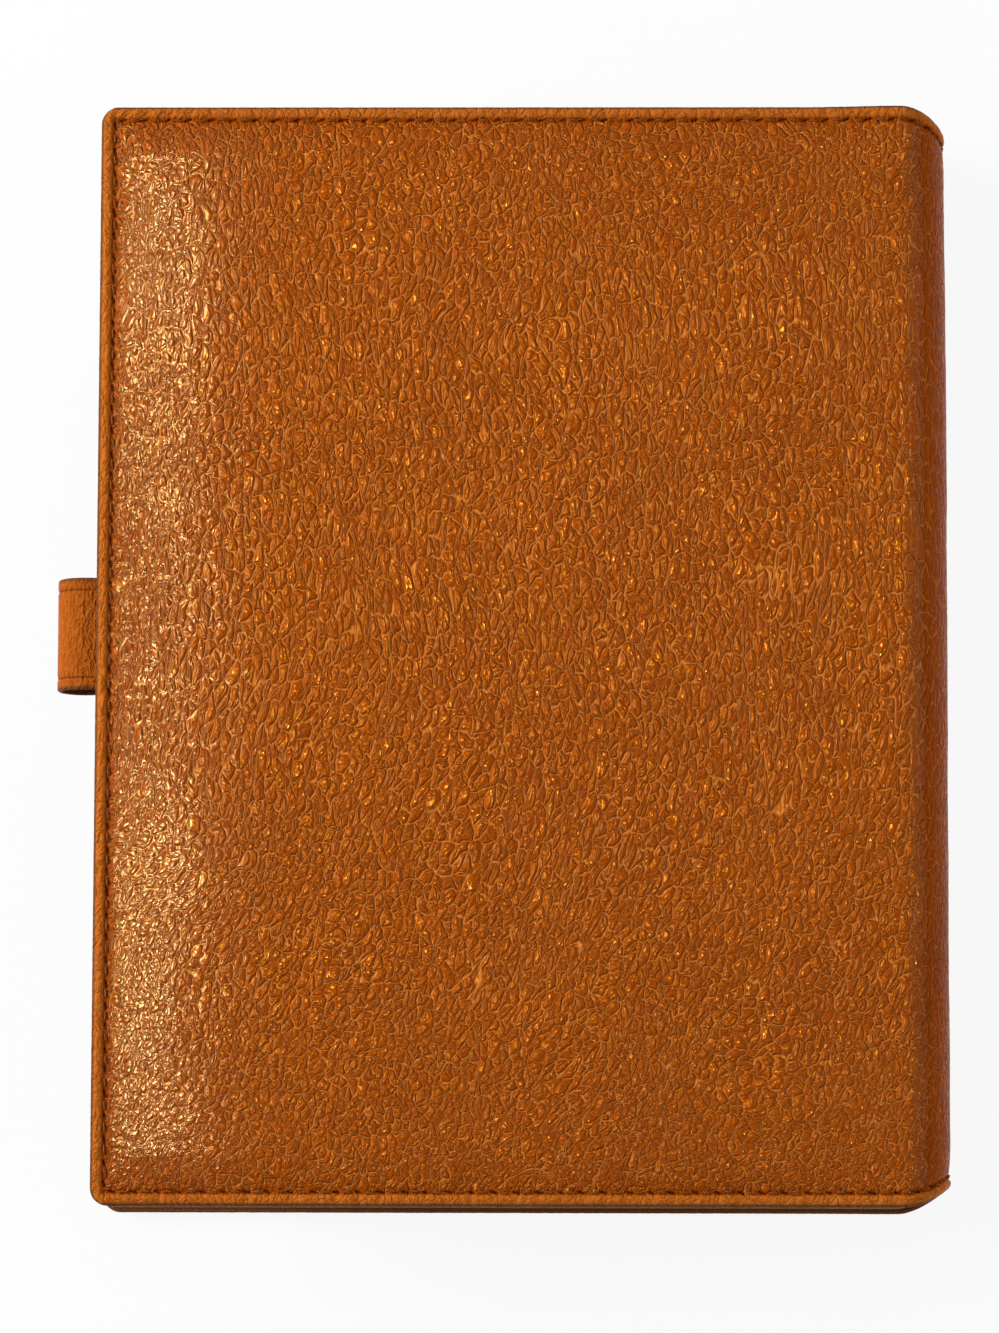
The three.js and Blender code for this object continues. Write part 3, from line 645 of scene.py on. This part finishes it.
# Outer leather
def swell(distance, start, end):
    """Rises from 0 at the start to 1 at the end, steeply at first."""
    return np.sin(np.pi / 2 * np.clip((distance - start) / (end - start), 0, 1))


def cover_x(s):
    """x at a run s from the fore edge; past the fold it stays there."""
    return np.minimum(FORE_X + s, FOLD_X)


def near_fold(x):
    """0 on the cover and 1 at its fold."""
    return smoothstep(FOLD_X - FOLD_RUN, FOLD_X, x)


def crown_drop(x):
    """How far the turned edge's top lies below the crown."""
    return CROWN + (FOLD_DROP - CROWN) * near_fold(x)


def border_thickness(x):
    """Thickness of the turned edge."""
    return BORDER + (FOLD_BORDER - BORDER) * near_fold(x)


def border_under(x):
    """Height of the turned edge's underside above the lining face."""
    return COVER - crown_drop(x) - border_thickness(x)


def stitch_phase(along):
    """Distance to the nearest needle hole along a seam."""
    return (along / STITCH_PITCH + 0.5) % 1 * STITCH_PITCH - STITCH_PITCH / 2


def seam_marks(s, y):
    """How deep the seam's groove is, and how much painted shade its needle slits get."""
    fore, end = cover_x(s) - FORE_X, HALF_HEIGHT - np.abs(y)
    groove, slit = np.zeros_like(s), np.zeros_like(s)
    for across, along, inside in ((fore, y, end), (end, s, fore)):
        off = across - STITCH_INSET
        present = inside > SEAM_START
        hole = stitch_phase(along + layered(along, 0 * along, [NEEDLE_STRAY]))
        groove = np.maximum(groove, present * np.exp(-(off / GROOVE_WIDTH) ** 2))
        slant = off + SLIT_SLANT * hole
        mark = np.exp(-(hole / SLIT_LENGTH) ** 4 - (slant / SLIT_WIDTH) ** 2)
        slit = np.maximum(slit, present * mark)
    return groove, slit


def leather_face(s, y):
    """Height of the leather's face above the lining face."""
    x = cover_x(s)
    fore, end = x - FORE_X, HALF_HEIGHT - np.abs(y)
    inner = np.minimum(fore, end)
    drop = crown_drop(x)
    field = swell(fore, BORDER_WIDTH, CROWN_RUN_FORE) * swell(end, BORDER_WIDTH, CROWN_RUN_END)
    top = COVER - drop + drop * field
    groove, slit = seam_marks(s, y)
    top = top + smoothstep(*LOOSE_RUN, inner) * layered(x, y, LOOSE_WAVES) - GRAIN_ROOM
    border = np.sin(np.pi * np.clip(inner / BORDER_SWELL_WIDTH, 0, 1))
    along = np.where(fore < end, y, s)
    pucker = np.exp(-(stitch_phase(along) / PUCKER_WIDTH) ** 2)
    crinkle = layered(x, y, CRINKLE_WAVES) - PUCKER_DEPTH * pucker
    top = top + border * (BORDER_SWELL + crinkle) - GROOVE_DEPTH * groove - SLIT_DEPTH * slit
    edge = np.clip(inner / EDGE_ROLL, 0, 1)
    rim = border_under(x) + RIM_SHARE * border_thickness(x)
    return rim + (top - rim) * np.sqrt(1 - (1 - edge) ** 2)


def plan_x(x, y):
    """x drawn in where the fore-edge corners are round."""
    reach = CORNER_RADIUS - np.minimum(CORNER_RADIUS, HALF_HEIGHT - np.abs(y))
    drawn = CORNER_RADIUS - np.sqrt(CORNER_RADIUS ** 2 - reach ** 2)
    return x + drawn * (1 - np.clip((x - FORE_X) / CROWN_RUN_FORE, 0, 1))


# The leather's course over the fold, a quarter of an ellipse, and the run along it
TURNS = np.linspace(0, np.pi / 2, 400)
CURVE = np.stack([FOLD_REACH * np.sin(TURNS), MID * np.cos(TURNS)], -1)
LENGTHS = np.concatenate([[0], np.cumsum(np.linalg.norm(np.diff(CURVE, axis=0), axis=1))])
FLAT_RUN = FOLD_X - FORE_X
HALF_RUN = FLAT_RUN + LENGTHS[-1]


def spine_turn(s):
    """How far the leather has turned at a run s from the fore edge: 0 on the cover."""
    return np.interp(s - FLAT_RUN, LENGTHS, TURNS)


def leather_normal(s):
    """Outward direction of the unpadded leather: its share along X and along Z."""
    turn = spine_turn(s)
    out = np.stack([np.sin(turn) / FOLD_REACH, np.cos(turn) / MID], -1)
    return out / np.linalg.norm(out, axis=-1, keepdims=True)


def tucked(y, turn):
    """y drawn in where the ends of the spine are."""
    tuck = np.where(y > 0, HEAD_TUCK, TAIL_TUCK)
    return y * (1 - tuck * np.sin(turn) ** 2 / HALF_HEIGHT)


def cover_point(s, y, height, outward):
    """A point of the back half: its height counts on the cover, and outward from the curve beyond."""
    turn = spine_turn(s)
    curve = np.stack([FOLD_REACH * np.sin(turn), MID * np.cos(turn)], -1)
    curve = curve + leather_normal(s) * outward[..., None]
    flat = s <= FLAT_RUN
    x = np.where(flat, plan_x(FORE_X + s, y), FOLD_X + curve[..., 0])
    z = np.where(flat, THICKNESS - COVER + height, MID + curve[..., 1])
    return np.stack([x, np.where(flat, y, tucked(y, turn)), z], -1)


def leather_point(s, y, height):
    """A point of the skin, at a height above its lining face."""
    return cover_point(s, y, height, height - COVER)


def edge_stations(roll, end, step, turns):
    """Distances from an edge that is rounded over a roll, up to where the grid starts."""
    rounded_edge = roll * (1 - np.cos(np.linspace(0, np.pi / 2, turns)))
    return np.concatenate([rounded_edge, np.arange(roll + step, end, step)])


def spread(start, end, step):
    """Even stations from start to end, about a step apart."""
    return np.linspace(start, end, max(2, int(round((end - start) / step)) + 1))


def both_ends(near, half, start, step):
    """Stations from tail to head: close together near both, and even between."""
    middle = spread(start - half, half - start, step)
    return np.concatenate([near - half, middle, (half - near)[::-1]])


def placed(name, points, quads, surface, front):
    """A mesh drawn as the back cover's, turned over if it is the front cover's."""
    if front:
        points[:, 2] = THICKNESS - points[:, 2]
        quads = quads[:, ::-1]
    return mesh_object(name, points, quads, surface)


def pebble_places(s, y):
    """Where each point lies in the grain, in pebbles: long ones in the middle, rounder at the tail."""
    lean = PEBBLE_LEAN * smoothstep(*LEAN_RUN, y) * y
    long = np.interp(y, PEBBLE_Y, PEBBLE_LENGTH)
    steps = np.linspace(-100, 100, 801)
    lengths = np.interp(steps, PEBBLE_Y, PEBBLE_LENGTH)
    counted = np.concatenate([[0], np.cumsum(np.diff(steps) / lengths[1:])])
    u = (s - lean + layered(s, y, PEBBLE_DRIFT_ACROSS)) / PEBBLE_WIDTH
    v = np.interp(y, steps, counted) + layered(s, y, PEBBLE_DRIFT_ALONG) / long
    return np.stack([u, v, np.zeros_like(u)], -1)


def skin(name, surface, front):
    """Half of the outer leather, from a fore edge over the fold to the middle of the spine."""
    near = edge_stations(EDGE_ROLL, EDGE_END, EDGE_STEP, 7)
    s_line = np.concatenate([near, spread(GRID_START, HALF_RUN, GRID)])
    y_line = both_ends(near, HALF_HEIGHT, GRID_START, GRID)
    s, y = np.meshgrid(s_line, y_line, indexing="ij")
    top = leather_point(s, y, leather_face(s, y))
    rows, columns = s.shape
    index = np.arange(rows * columns).reshape(rows, columns)
    rim = np.concatenate([index[::-1, 0], index[0, 1:], index[1:, -1]])
    rim_s, rim_y = s.ravel()[rim], y.ravel()[rim]
    rim_x = cover_x(rim_s)
    thick, under = border_thickness(rim_x), border_under(rim_x)
    inward = np.stack([np.zeros(len(rim)), -np.sign(rim_y)], -1)
    on_fore = rim_s == 0
    beyond = np.clip(np.abs(rim_y) - (HALF_HEIGHT - CORNER_RADIUS), 0, None) / CORNER_RADIUS
    inward[on_fore] = np.stack([np.sqrt(1 - beyond ** 2), -np.sign(rim_y) * beyond], -1)[on_fore]
    points, loops = [top.reshape(-1, 3)], [rim]
    profile = [(UNDER_ROLL * (1 - math.cos(a)), math.sin(a)) for a in np.radians([22, 45, 68, 90])]
    for depth, fall in profile + [(depth, 1) for depth in TURN_IN]:
        height = under + RIM_SHARE * thick * (1 - fall)
        base = leather_point(rim_s, rim_y, height)
        base[:, :2] += inward * depth
        loops.append(np.arange(len(rim)) + sum(len(p) for p in points))
        points.append(base)
    quads = [grid_faces(rows, columns)]
    for upper, lower in zip(loops, loops[1:]):
        quads.append(np.stack([upper[:-1], upper[1:], lower[1:], lower[:-1]], -1))
    points, quads = np.concatenate(points), np.concatenate(quads)
    all_s, all_y = [np.concatenate([v.ravel()] + [v.ravel()[rim]] * (len(loops) - 1)) for v in (s, y)]
    piece = placed(name, points, quads, surface, front)
    fore, end = all_s, HALF_HEIGHT - np.abs(all_y)
    inner = np.minimum(fore, end)
    around = 2 * HALF_RUN - all_s if front else all_s
    is_top = np.arange(len(points)) < rows * columns
    on_spine = 1 - SPINE_CALM * smoothstep(*SPINE_FADE, all_s - FLAT_RUN)
    off_border = BORDER_GRAIN + (1 - BORDER_GRAIN) * smoothstep(*BORDER_FADE, inner)
    patchy_fore = fore + layered(all_s, all_y, PATCH_WAVES)
    fine = FINE_FORE * smoothstep(*FINE_FROM_FORE, patchy_fore)
    fine = fine + FINE_TAIL * smoothstep(*FINE_TO_TAIL, all_y)
    polish = smoothstep(*POLISH_FROM_FORE, fore) * smoothstep(*POLISH_FROM_RIM, inner)
    point_values(piece, "skin", pebble_places(around, all_y), "FLOAT_VECTOR")
    point_values(piece, "grain", is_top * on_spine * off_border)
    point_values(piece, "fine", np.clip(fine, 0, 1))
    point_values(piece, "polish", is_top * polish)
    # Rim value: darker towards the very edge and all over the rolled edge beneath it
    point_values(piece, "rim", np.where(is_top, smoothstep(*RIM_DARKENING, inner), 1))
    # Where the turned border gets its painted highlight
    point_values(piece, "border", is_top * smoothstep(*BORDER_HIGHLIGHT, inner))
    # Where the needle slits get their painted shade
    point_values(piece, "slit", np.where(is_top, seam_marks(all_s, all_y)[1], 0))
    return piece


def press_grain(piece, depth):
    """Gives the mesh itself the grain's relief, from the same pattern as the material."""
    tree = bpy.data.node_groups.new("pressed_grain", "GeometryNodeTree")
    for way in ("INPUT", "OUTPUT"):
        tree.interface.new_socket("Geometry", in_out=way, socket_type="NodeSocketGeometry")
    net = Net(tree)

    def held(name, kind):
        """The values that the mesh holds under a name."""
        named = net.node("GeometryNodeInputNamedAttribute", {"Name": name}, data_type=kind)
        return named.outputs[0]

    height = pebbles(net, held("skin", "FLOAT_VECTOR"), held("fine", "FLOAT"))[0]
    lift = net.times(net.times(height, held("grain", "FLOAT")), depth * MM)
    outward = net.node("GeometryNodeInputNormal").outputs[0]
    offset = net.node("ShaderNodeVectorMath", {0: outward, "Scale": lift}, operation="SCALE").outputs[0]
    entry = net.node("NodeGroupInput")
    moved = net.node("GeometryNodeSetPosition", {"Geometry": entry.outputs[0], "Offset": offset})
    net.node("NodeGroupOutput", {0: moved.outputs[0]})
    modifier = piece.modifiers.new("pressed_grain", "NODES")
    modifier.node_group = tree
    depsgraph = bpy.context.evaluated_depsgraph_get()
    pressed = bpy.data.meshes.new_from_object(
        piece.evaluated_get(depsgraph), preserve_all_data_layers=True, depsgraph=depsgraph)
    piece.modifiers.clear()
    piece.data = pressed


# Where a cover's fold starts on the spine and ends on the back cover, in metres
FOLD_START = SPINE_X * MM, 0, (THICKNESS - FOLD_REACH) * MM
FOLD_END = FOLD_X * MM, 0, THICKNESS * MM


def over_fold(piece, front):
    """Bakes into its mesh the transform of a piece that runs from a cover round the fold to the spine.
    """
    side = (lambda p: (p[0], p[1], THICKNESS * MM - p[2])) if front else (lambda p: p)
    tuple(side(FOLD_START))
    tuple(side(FOLD_END))
    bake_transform(piece)


# Linings
def lining_inset(s):
    """How far the lining's face lies inside the curve of the outer leather."""
    turn = spine_turn(s)
    board_turn = math.acos(SPINE_FLAT / MID)
    on_curve = FOLD_REACH * np.sin(turn) + FOLD_X
    out = leather_normal(s)
    flat_inset = (on_curve - SPINE_INSIDE) / np.maximum(out[..., 0], 0.5)
    rise = smoothstep(0.0, GUTTER_RISE, turn)
    sink = smoothstep(board_turn - GUTTER_SINK, board_turn, turn)
    gutter = COVER + (GUTTER_DEPTH - COVER) * rise
    return gutter + (flat_inset - gutter) * sink


def lining_point(s, y, height):
    """A point of the lining; height 0 is its face and LINING its glued back."""
    return cover_point(s, y, height, height - lining_inset(s))


def lining(name, surface, front):
    """Half of the lining, from a fore edge over the gutter to the middle of the spine."""
    near = edge_stations(LINING, LINING_EDGE_END, LINING_STEP, 5)
    half = HALF_HEIGHT - LINING_INSET
    s_grid, y_grid = LINING_GRID
    s_line = np.concatenate([LINING_INSET + near,
                             spread(LINING_INSET + LINING_GRID_START, HALF_RUN, s_grid)])
    y_line = both_ends(near, half, LINING_GRID_START, y_grid)
    s, y = np.meshgrid(s_line, y_line, indexing="ij")
    fore, end = s - LINING_INSET, half - np.abs(y)
    inner = np.minimum(fore, end)
    edge = np.clip(inner / LINING, 0, 1)
    off = np.minimum(s, HALF_HEIGHT - np.abs(y)) - STITCH_INSET
    seam = np.exp(-(off / LINING_SEAM_WIDTH) ** 2)
    height = LINING * (1 - np.sqrt(1 - (1 - edge) ** 2)) + LINING_SEAM_DEPTH * seam
    slack = smoothstep(*LINING_LOOSE_RUN, inner) * (layered(s, y, LINING_WAVES) + LINING_SLACK)
    height = height + slack
    points = lining_point(s, y, height).reshape(-1, 3)
    return placed(name, points, grid_faces(*s.shape)[:, ::-1], surface, front)


# Stitches
def capsule(parts, start, end, up, width):
    """A short thread from start to end, lowest at its two ends."""
    steps, around = 6, 8
    start, end, up = (np.asarray(v, float) for v in (start, end, up))
    along = (end - start) / np.linalg.norm(end - start)
    side = np.cross(along, up)
    t = np.linspace(0, 1, steps + 1)
    angles = np.linspace(0, 2 * np.pi, around, endpoint=False)
    size = np.sqrt(np.clip(1 - (2 * t - 1) ** 4, 0.02, 1))
    centre = start + (end - start) * t[:, None] + up * (THREAD_RISE * np.sin(np.pi * t))[:, None]
    ring = np.cos(angles)[:, None] * side + np.sin(angles)[:, None] * up
    points = centre[:, None] + ring[None] * (size * width / 2)[:, None, None]
    parts.add(points, grid_faces(steps + 1, around, closed=True))


def threads(name, surface, front, inside):
    """The threads of half the seam, seen outside or on the lining."""
    parts = Parts()
    reach = INNER_STITCH if inside else OUTER_STITCH

    def place(s, y):
        """The point of the seam at a run s and a height y."""
        s, y = np.array([s]), np.array([y])
        if inside:
            return lining_point(s, y, np.full(1, INNER_STITCH_LEVEL))[0]
        top = COVER - crown_drop(cover_x(s))
        return leather_point(s, y, top + OUTER_STITCH_LEVEL)[0]

    def out(s):
        """The way that the threads stand out at a run s."""
        normal = leather_normal(np.array([s]))[0] if s > FLAT_RUN else np.array([0, 1])
        up = np.array([normal[0], 0, normal[1]])
        return -up if inside else up

    seam_y = HALF_HEIGHT - STITCH_INSET
    count = int((HALF_RUN - STITCH_INSET) / STITCH_PITCH)
    for side in (-1, 1):
        for i in range(count + 1):
            middle = STITCH_PITCH * (i + 0.5)
            if middle < STITCH_INSET + 1 or middle > HALF_RUN:
                continue
            y = side * seam_y + END_STITCH_STRAY * random.normal()
            capsule(parts, place(middle - reach, y + THREAD_SLANT),
                    place(min(middle + reach, HALF_RUN), y - THREAD_SLANT),
                    out(middle), THREAD_WIDTH)
    most = math.ceil(seam_y / STITCH_PITCH)
    for i in range(-most, most):
        middle = STITCH_PITCH * (i + 0.5)
        if abs(middle) > seam_y - 1:
            continue
        s = STITCH_INSET + FORE_STITCH_STRAY * random.normal()
        capsule(parts, place(s + THREAD_SLANT, middle - reach), place(s - THREAD_SLANT, middle + reach),
                out(0.0), THREAD_WIDTH)
    piece = parts.build(name, surface)
    if front:
        mirror(piece)
    return piece


def panel_threads(name, node, surface, facing, sides):
    """Threads along some sides of a pocket panel: -x, +x, -y or +y."""
    low, high = corners(node)
    level = (high if facing > 0 else low)[2]
    up = np.array([0, 0, facing])
    a, b = low[:2] + PANEL_SEAM_INSET, high[:2] - PANEL_SEAM_INSET
    lines = {"-x": (a, (a[0], b[1])), "+x": ((b[0], a[1]), b),
             "-y": (a, (b[0], a[1])), "+y": ((a[0], b[1]), b)}
    parts = Parts()
    for side in sides:
        start, end = (np.array([*p, level - PANEL_THREAD_SINK * facing]) for p in lines[side])
        length = np.linalg.norm(end - start)
        along = (end - start) / length
        count = int(length // PANEL_STITCH_PITCH)
        for i in range(count):
            middle = start + along * length * (i + 0.5) / count
            half = along * PANEL_STITCH / 2 + np.cross(up, along) * PANEL_STITCH_STRAY * random.normal()
            capsule(parts, middle - half, middle + half, up, PANEL_THREAD_WIDTH)
    return parts.build(name, surface)


def mirror(piece):
    """Turns a back-cover piece into its front-cover twin."""
    flip = Matrix.Translation((0, 0, THICKNESS * MM)) @ Matrix.Diagonal((1, 1, -1, 1))
    piece.data.transform(flip)
    piece.data.flip_normals()


# Pen loop
def strap_seam(inner):
    """1 on the line where the strap's edge is turned in, seen at a distance from that edge."""
    return np.exp(-((inner - STRAP_SEAM_INSET) / STRAP_SEAM_WIDTH) ** 2)


def pen_loop(surface):
    """A strap bent round a pen, with turned edges, its ends sewn under the lining."""
    low, high = corners("pen_loop")
    radius, level = (high[2] - low[2]) / 2, high[2]
    half, middle_y = (high[1] - low[1]) / 2, (high[1] + low[1]) / 2
    centre = np.array([low[0] + radius - LOOP_OUT, level - radius])
    lean = math.radians(LOOP_LEAN)
    run = radius - STRAP / 2
    arc = np.linspace(math.pi / 2, 2 * math.pi - lean, 40)
    path = [(x, level - STRAP / 2) for x in np.linspace(high[0], centre[0], 20)[:-1]]
    path += [(centre[0] + run * math.cos(a), centre[1] + run * math.sin(a)) for a in arc]
    rise = np.array([math.sin(lean), math.cos(lean)])
    leave, seat = np.array(path[-1]), level - 1.5 * STRAP
    meet = leave + rise * (seat - leave[1]) / rise[1]
    path += [tuple(leave + (meet - leave) * t) for t in np.linspace(0, 1, 8)[1:]]
    path += [(x, seat) for x in np.linspace(meet[0], high[0], 14)[1:]]
    path = np.array(path)
    tangent = np.gradient(path, axis=0)
    tangent /= np.linalg.norm(tangent, axis=1)[:, None]
    normal = np.stack([tangent[:, 1], -tangent[:, 0]], -1)
    length = np.concatenate([[0], np.cumsum(np.linalg.norm(np.diff(path, axis=0), axis=1))])
    flat = np.linspace(-half + STRAP / 2, half - STRAP / 2, 60)
    outer = [(y, STRAP / 2 - STRAP_SEAM_DEPTH * strap_seam(half - abs(y))) for y in flat]
    bend = np.linspace(math.pi / 2, -math.pi / 2, 9)[1:-1]
    cap = [(half - STRAP / 2 + STRAP / 2 * math.cos(a), STRAP / 2 * math.sin(a)) for a in bend]
    section = outer + cap + [(y, -STRAP / 2) for y in flat[::-1]] + [(-y, n) for y, n in cap[::-1]]
    across, depth = np.array(section).T
    rumple = layered(length[:, None], across[None] * STRAP_RUMPLE_STRETCH, STRAP_RUMPLES)
    lift = (depth[None] + rumple)[..., None] * normal[:, None]
    points = np.stack([path[:, None, 0] + lift[..., 0],
                       np.broadcast_to(middle_y + across, lift.shape[:2]),
                       path[:, None, 1] + lift[..., 1]], -1)
    rows, columns = points.shape[:2]
    quads = grid_faces(rows, columns, closed=True)
    piece = mesh_object("pen_loop_strap", points.reshape(-1, 3), quads, surface)
    long, wide = STRAP_PEBBLE
    places = np.stack(np.broadcast_arrays(length[:, None] / long, across[None] / wide, 0.0), -1)
    point_values(piece, "skin", places.reshape(-1, 3), "FLOAT_VECTOR")
    inner = half - np.abs(across)
    # The strap is darker all over, and more so towards its edges
    darkened = STRAP_DARKENING + STRAP_RIM_DARKENING * smoothstep(*STRAP_RIM, inner)
    # Its slit value puts painted shade on the line of the turned edge
    for name, value in (("grain", STRAP_GRAIN), ("fine", STRAP_FINE), ("rim", darkened),
                        ("slit", STRAP_SEAM_SHADE * strap_seam(inner)), ("border", STRAP_BORDER)):
        point_values(piece, name, np.broadcast_to(value, (rows, columns)))
    return piece


# Rings
def ring_half(name, node, surface, side):
    """A smooth wire from its tip at mid-thickness to the top of its rail."""
    low, high = corners(node)
    wire = (high[1] - low[1]) / 2
    centre_y = (high[1] + low[1]) / 2
    reach = max(high[2] - MID, MID - low[2]) - wire
    centre_x = low[0] + reach + wire
    rail = corners(node.split("_half_ring")[0] + "_rail")
    foot = math.pi - math.asin((rail[0][2] + rail[1][2] - 2 * MID) / 2 * side / reach)
    rows, columns = 48, 24
    turns = np.linspace(RING_TIP_GAP / reach, foot, rows)
    angles = np.linspace(0, 2 * np.pi, columns, endpoint=False)
    size = wire * np.sqrt(np.clip(np.linspace(0, rows, rows) / RING_TIP_RUN, RING_TIP_LEAST, 1))
    out = np.stack([-np.cos(turns), side * np.sin(turns)], -1)
    spoke = reach + np.cos(angles)[None] * size[:, None]
    points = np.stack([centre_x + spoke * out[:, None, 0],
                       centre_y + np.sin(angles)[None] * size[:, None],
                       MID + spoke * out[:, None, 1]], -1)
    points = points.reshape(-1, 3)
    points[:, 0] = np.minimum(points[:, 0], rail[0][0] + RING_FOOT)
    quads = [list(q) for q in grid_faces(rows, columns, closed=True)] + [list(range(columns))]
    if side < 0:
        quads = [q[::-1] for q in quads]
    return mesh_object(name, points, quads, surface)


def dress(surface, *nodes):
    """Gives CAD nodes their finish."""
    for node in nodes:
        for slot in bpy.data.objects[node].material_slots:
            slot.material = surface


def rounded(width, segments, *nodes):
    """Rounds the sharp edges of CAD nodes."""
    for node in nodes:
        modifier = bpy.data.objects[node].modifiers.new("rounded", "BEVEL")
        modifier.width, modifier.segments = width * MM, segments
        modifier.limit_method, modifier.angle_limit = "ANGLE", math.radians(40)


# The pieces
leather, thread_surface, lining_surface = outer_leather(), thread(), lining_leather()
metal = nickel()
for cover, front in (("front", True), ("back", False)):
    half = skin(f"{cover}_skin", leather, front)
    press_grain(half, GRAIN_DEPTH)
    over_fold(half, front)
    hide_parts(f"{cover}_outer_leather", f"{cover}_padding", "spine_leather", "spine_padding")
    sheet = lining(f"{cover}_lining_leather", lining_surface, front)
    over_fold(sheet, front)
    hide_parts(f"{cover}_lining", "spine_lining")
    for place, inside in (("outer", False), ("inner", True)):
        seam = threads(f"{cover}_{place}_threads", thread_surface, front, inside)
        over_fold(seam, front)

loop = pen_loop(leather)
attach(loop, "back_cover")
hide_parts("pen_loop")

for cover, side in (("front", -1), ("back", 1)):
    for i in range(1, 7):
        node = f"{cover}_half_ring_{i}"
        ring = ring_half(f"{cover}_ring_wire_{i}", node, metal, side)
        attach(ring, f"{cover}_rings")
        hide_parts(node)

levers, rivets = ("tail_lever", "head_lever"), ("tail_rivet", "head_rivet")
dress(metal, "ring_base_plate", "front_rail", "back_rail", *levers, *rivets)
rounded(PLATE_EDGE, 3, "ring_base_plate")
rounded(LEVER_EDGE, 3, *levers)
rounded(RIVET_EDGE, 2, *rivets)

panel_seams = {
    "front_pocket_panel": ("-x", "-y", "+y"), "back_pocket_panel": ("-x", "-y", "+y"),
    "card_slot_1": ("-x", "+x"), "card_slot_2": ("-x", "+x"), "card_slot_3": ("-x", "+x", "-y")}
dress(lining_surface, *panel_seams)
rounded(PANEL_EDGE, 3, *panel_seams)
for node, sides in panel_seams.items():
    body, facing = ("back_cover", -1) if node.startswith("back") else ("front_cover", 1)
    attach(panel_threads(f"{node}_threads", node, thread_surface, facing, sides), body)

dress(greyboard(), "front_board", "back_board", "spine_board")
dress(paper("page_paper", CREAM_TONES), "early_pages", "late_pages")
dress(paper("note_paper", NOTE_TONES), "note_pages", "address_pages")
dress(paper("divider_card", CARD_TONES, rough=0.7, ruled=False), "note_divider", "address_divider")
dress(frosted_sheet(), "front_flyleaf", "back_flyleaf")
dress(ruler_sheet(), "page_marker")


# Camera, light and floor
CAMERA_X, CAMERA_Y, CAMERA_RISE = 14.45, -131.1, 1000
CAMERA_TILT, CAMERA_ROLL, CAMERA_PAN = 7.305, 0.163, 0.863
FOCAL_PIXELS, IMAGE_HEIGHT, SENSOR = 6058, 1333, 36
LAMP_DISTANCE = 900
SOFT_SIZE = (700, 700)
SHEEN_SIZE = (80, 120)
ROOM_LIGHT = 0.1
FLOOR_HALF, FLOOR_LEVEL = 4000, -0.05
FLOOR_GLOW = 0.9


def camera():
    """A camera above the cover and towards the tail."""
    data = bpy.data.cameras.new("camera")
    data.sensor_width = SENSOR
    data.lens = FOCAL_PIXELS / IMAGE_HEIGHT * SENSOR
    data.clip_end = 20
    made = in_scene("camera", data)
    turn = [Matrix.Rotation(math.radians(a), 3, axis)
            for a, axis in ((CAMERA_ROLL, "Z"), (CAMERA_PAN, "Y"), (CAMERA_TILT, "X"))]
    made.matrix_world = (turn[0] @ turn[1] @ turn[2]).to_4x4()
    made.location = Vector((CAMERA_X, CAMERA_Y, THICKNESS + CAMERA_RISE)) * MM
    bpy.context.scene.camera = made


def softbox(name, azimuth, lean, size, radiance, sheen=None):
    """A lamp that faces the book; azimuth 0 is at +X and 90 at +Y, and lean counts from overhead.

    A lamp with a sheen colour is round and shows in glossy surfaces only.
    """
    data = bpy.data.lights.new(name, "AREA")
    data.shape, data.size, data.size_y = "RECTANGLE", size[0] * MM, size[1] * MM
    data.energy = radiance * math.pi * data.size * data.size_y
    made = in_scene(name, data)
    a, l = math.radians(azimuth), math.radians(lean)
    toward = Vector((math.cos(a) * math.sin(l), math.sin(a) * math.sin(l), math.cos(l)))
    made.location = toward * LAMP_DISTANCE * MM
    across = Vector((0, 1, 0)).cross(toward).normalized()
    made.rotation_euler = Matrix((across, toward.cross(across), toward)).transposed().to_euler()
    if sheen:
        data.color, data.shape = sheen, "ELLIPSE"
        made.visible_diffuse = False


def world(strength):
    """Even light from all round, which is seen as plain white."""
    made = bpy.data.worlds.new("studio")
    made.use_nodes = True
    net = Net(made.node_tree)
    light, seen = [net.node("ShaderNodeBackground", {"Color": WHITE, "Strength": level}).outputs[0]
                   for level in (strength, 1.0)]
    mixed = net.node("ShaderNodeMixShader", {0: net.looked_at(), 1: light, 2: seen})
    net.node("ShaderNodeOutputWorld", {"Surface": mixed.outputs[0]})
    bpy.context.scene.world = made


def floor():
    """A pale floor that is seen almost as white and keeps the book's shadow."""
    made, net = material("floor_paper", Roughness=1.0, Specular_IOR_Level=0)
    grey = net.noise(net.here(), 3.0)
    net.link(net.tint(grey, *FLOOR_TONES), "Base Color")
    glow = net.node("ShaderNodeEmission")
    share = net.times(net.looked_at(), FLOOR_GLOW)
    mixed = net.node("ShaderNodeMixShader", {0: share, 1: net.shader.outputs[0], 2: glow.outputs[0]})
    net.tree.links.new(mixed.outputs[0], net.output.inputs["Surface"])
    corner_signs = ((-1, -1), (1, -1), (1, 1), (-1, 1))
    points = [(x * FLOOR_HALF, y * FLOOR_HALF, FLOOR_LEVEL) for x, y in corner_signs]
    mesh_object("floor", points, [(0, 1, 2, 3)], made, smooth=False)


bpy.context.scene.view_settings.view_transform = "Standard"
camera()
softbox("key", 163, 59, (480, 620), 10.8)
softbox("head_sheen", 139, 22.5, SHEEN_SIZE, 290, sheen=WARM_LAMP)
softbox("tail_sheen", 178, 17.5, SHEEN_SIZE, 330, sheen=WARM_LAMP)
softbox("far_side", 0, 65, SOFT_SIZE, 1.7)
softbox("head_side", 80, 55, SOFT_SIZE, 0.7)
softbox("tail_side", -90, 68, SOFT_SIZE, 1.2)
world(ROOM_LIGHT)
floor()
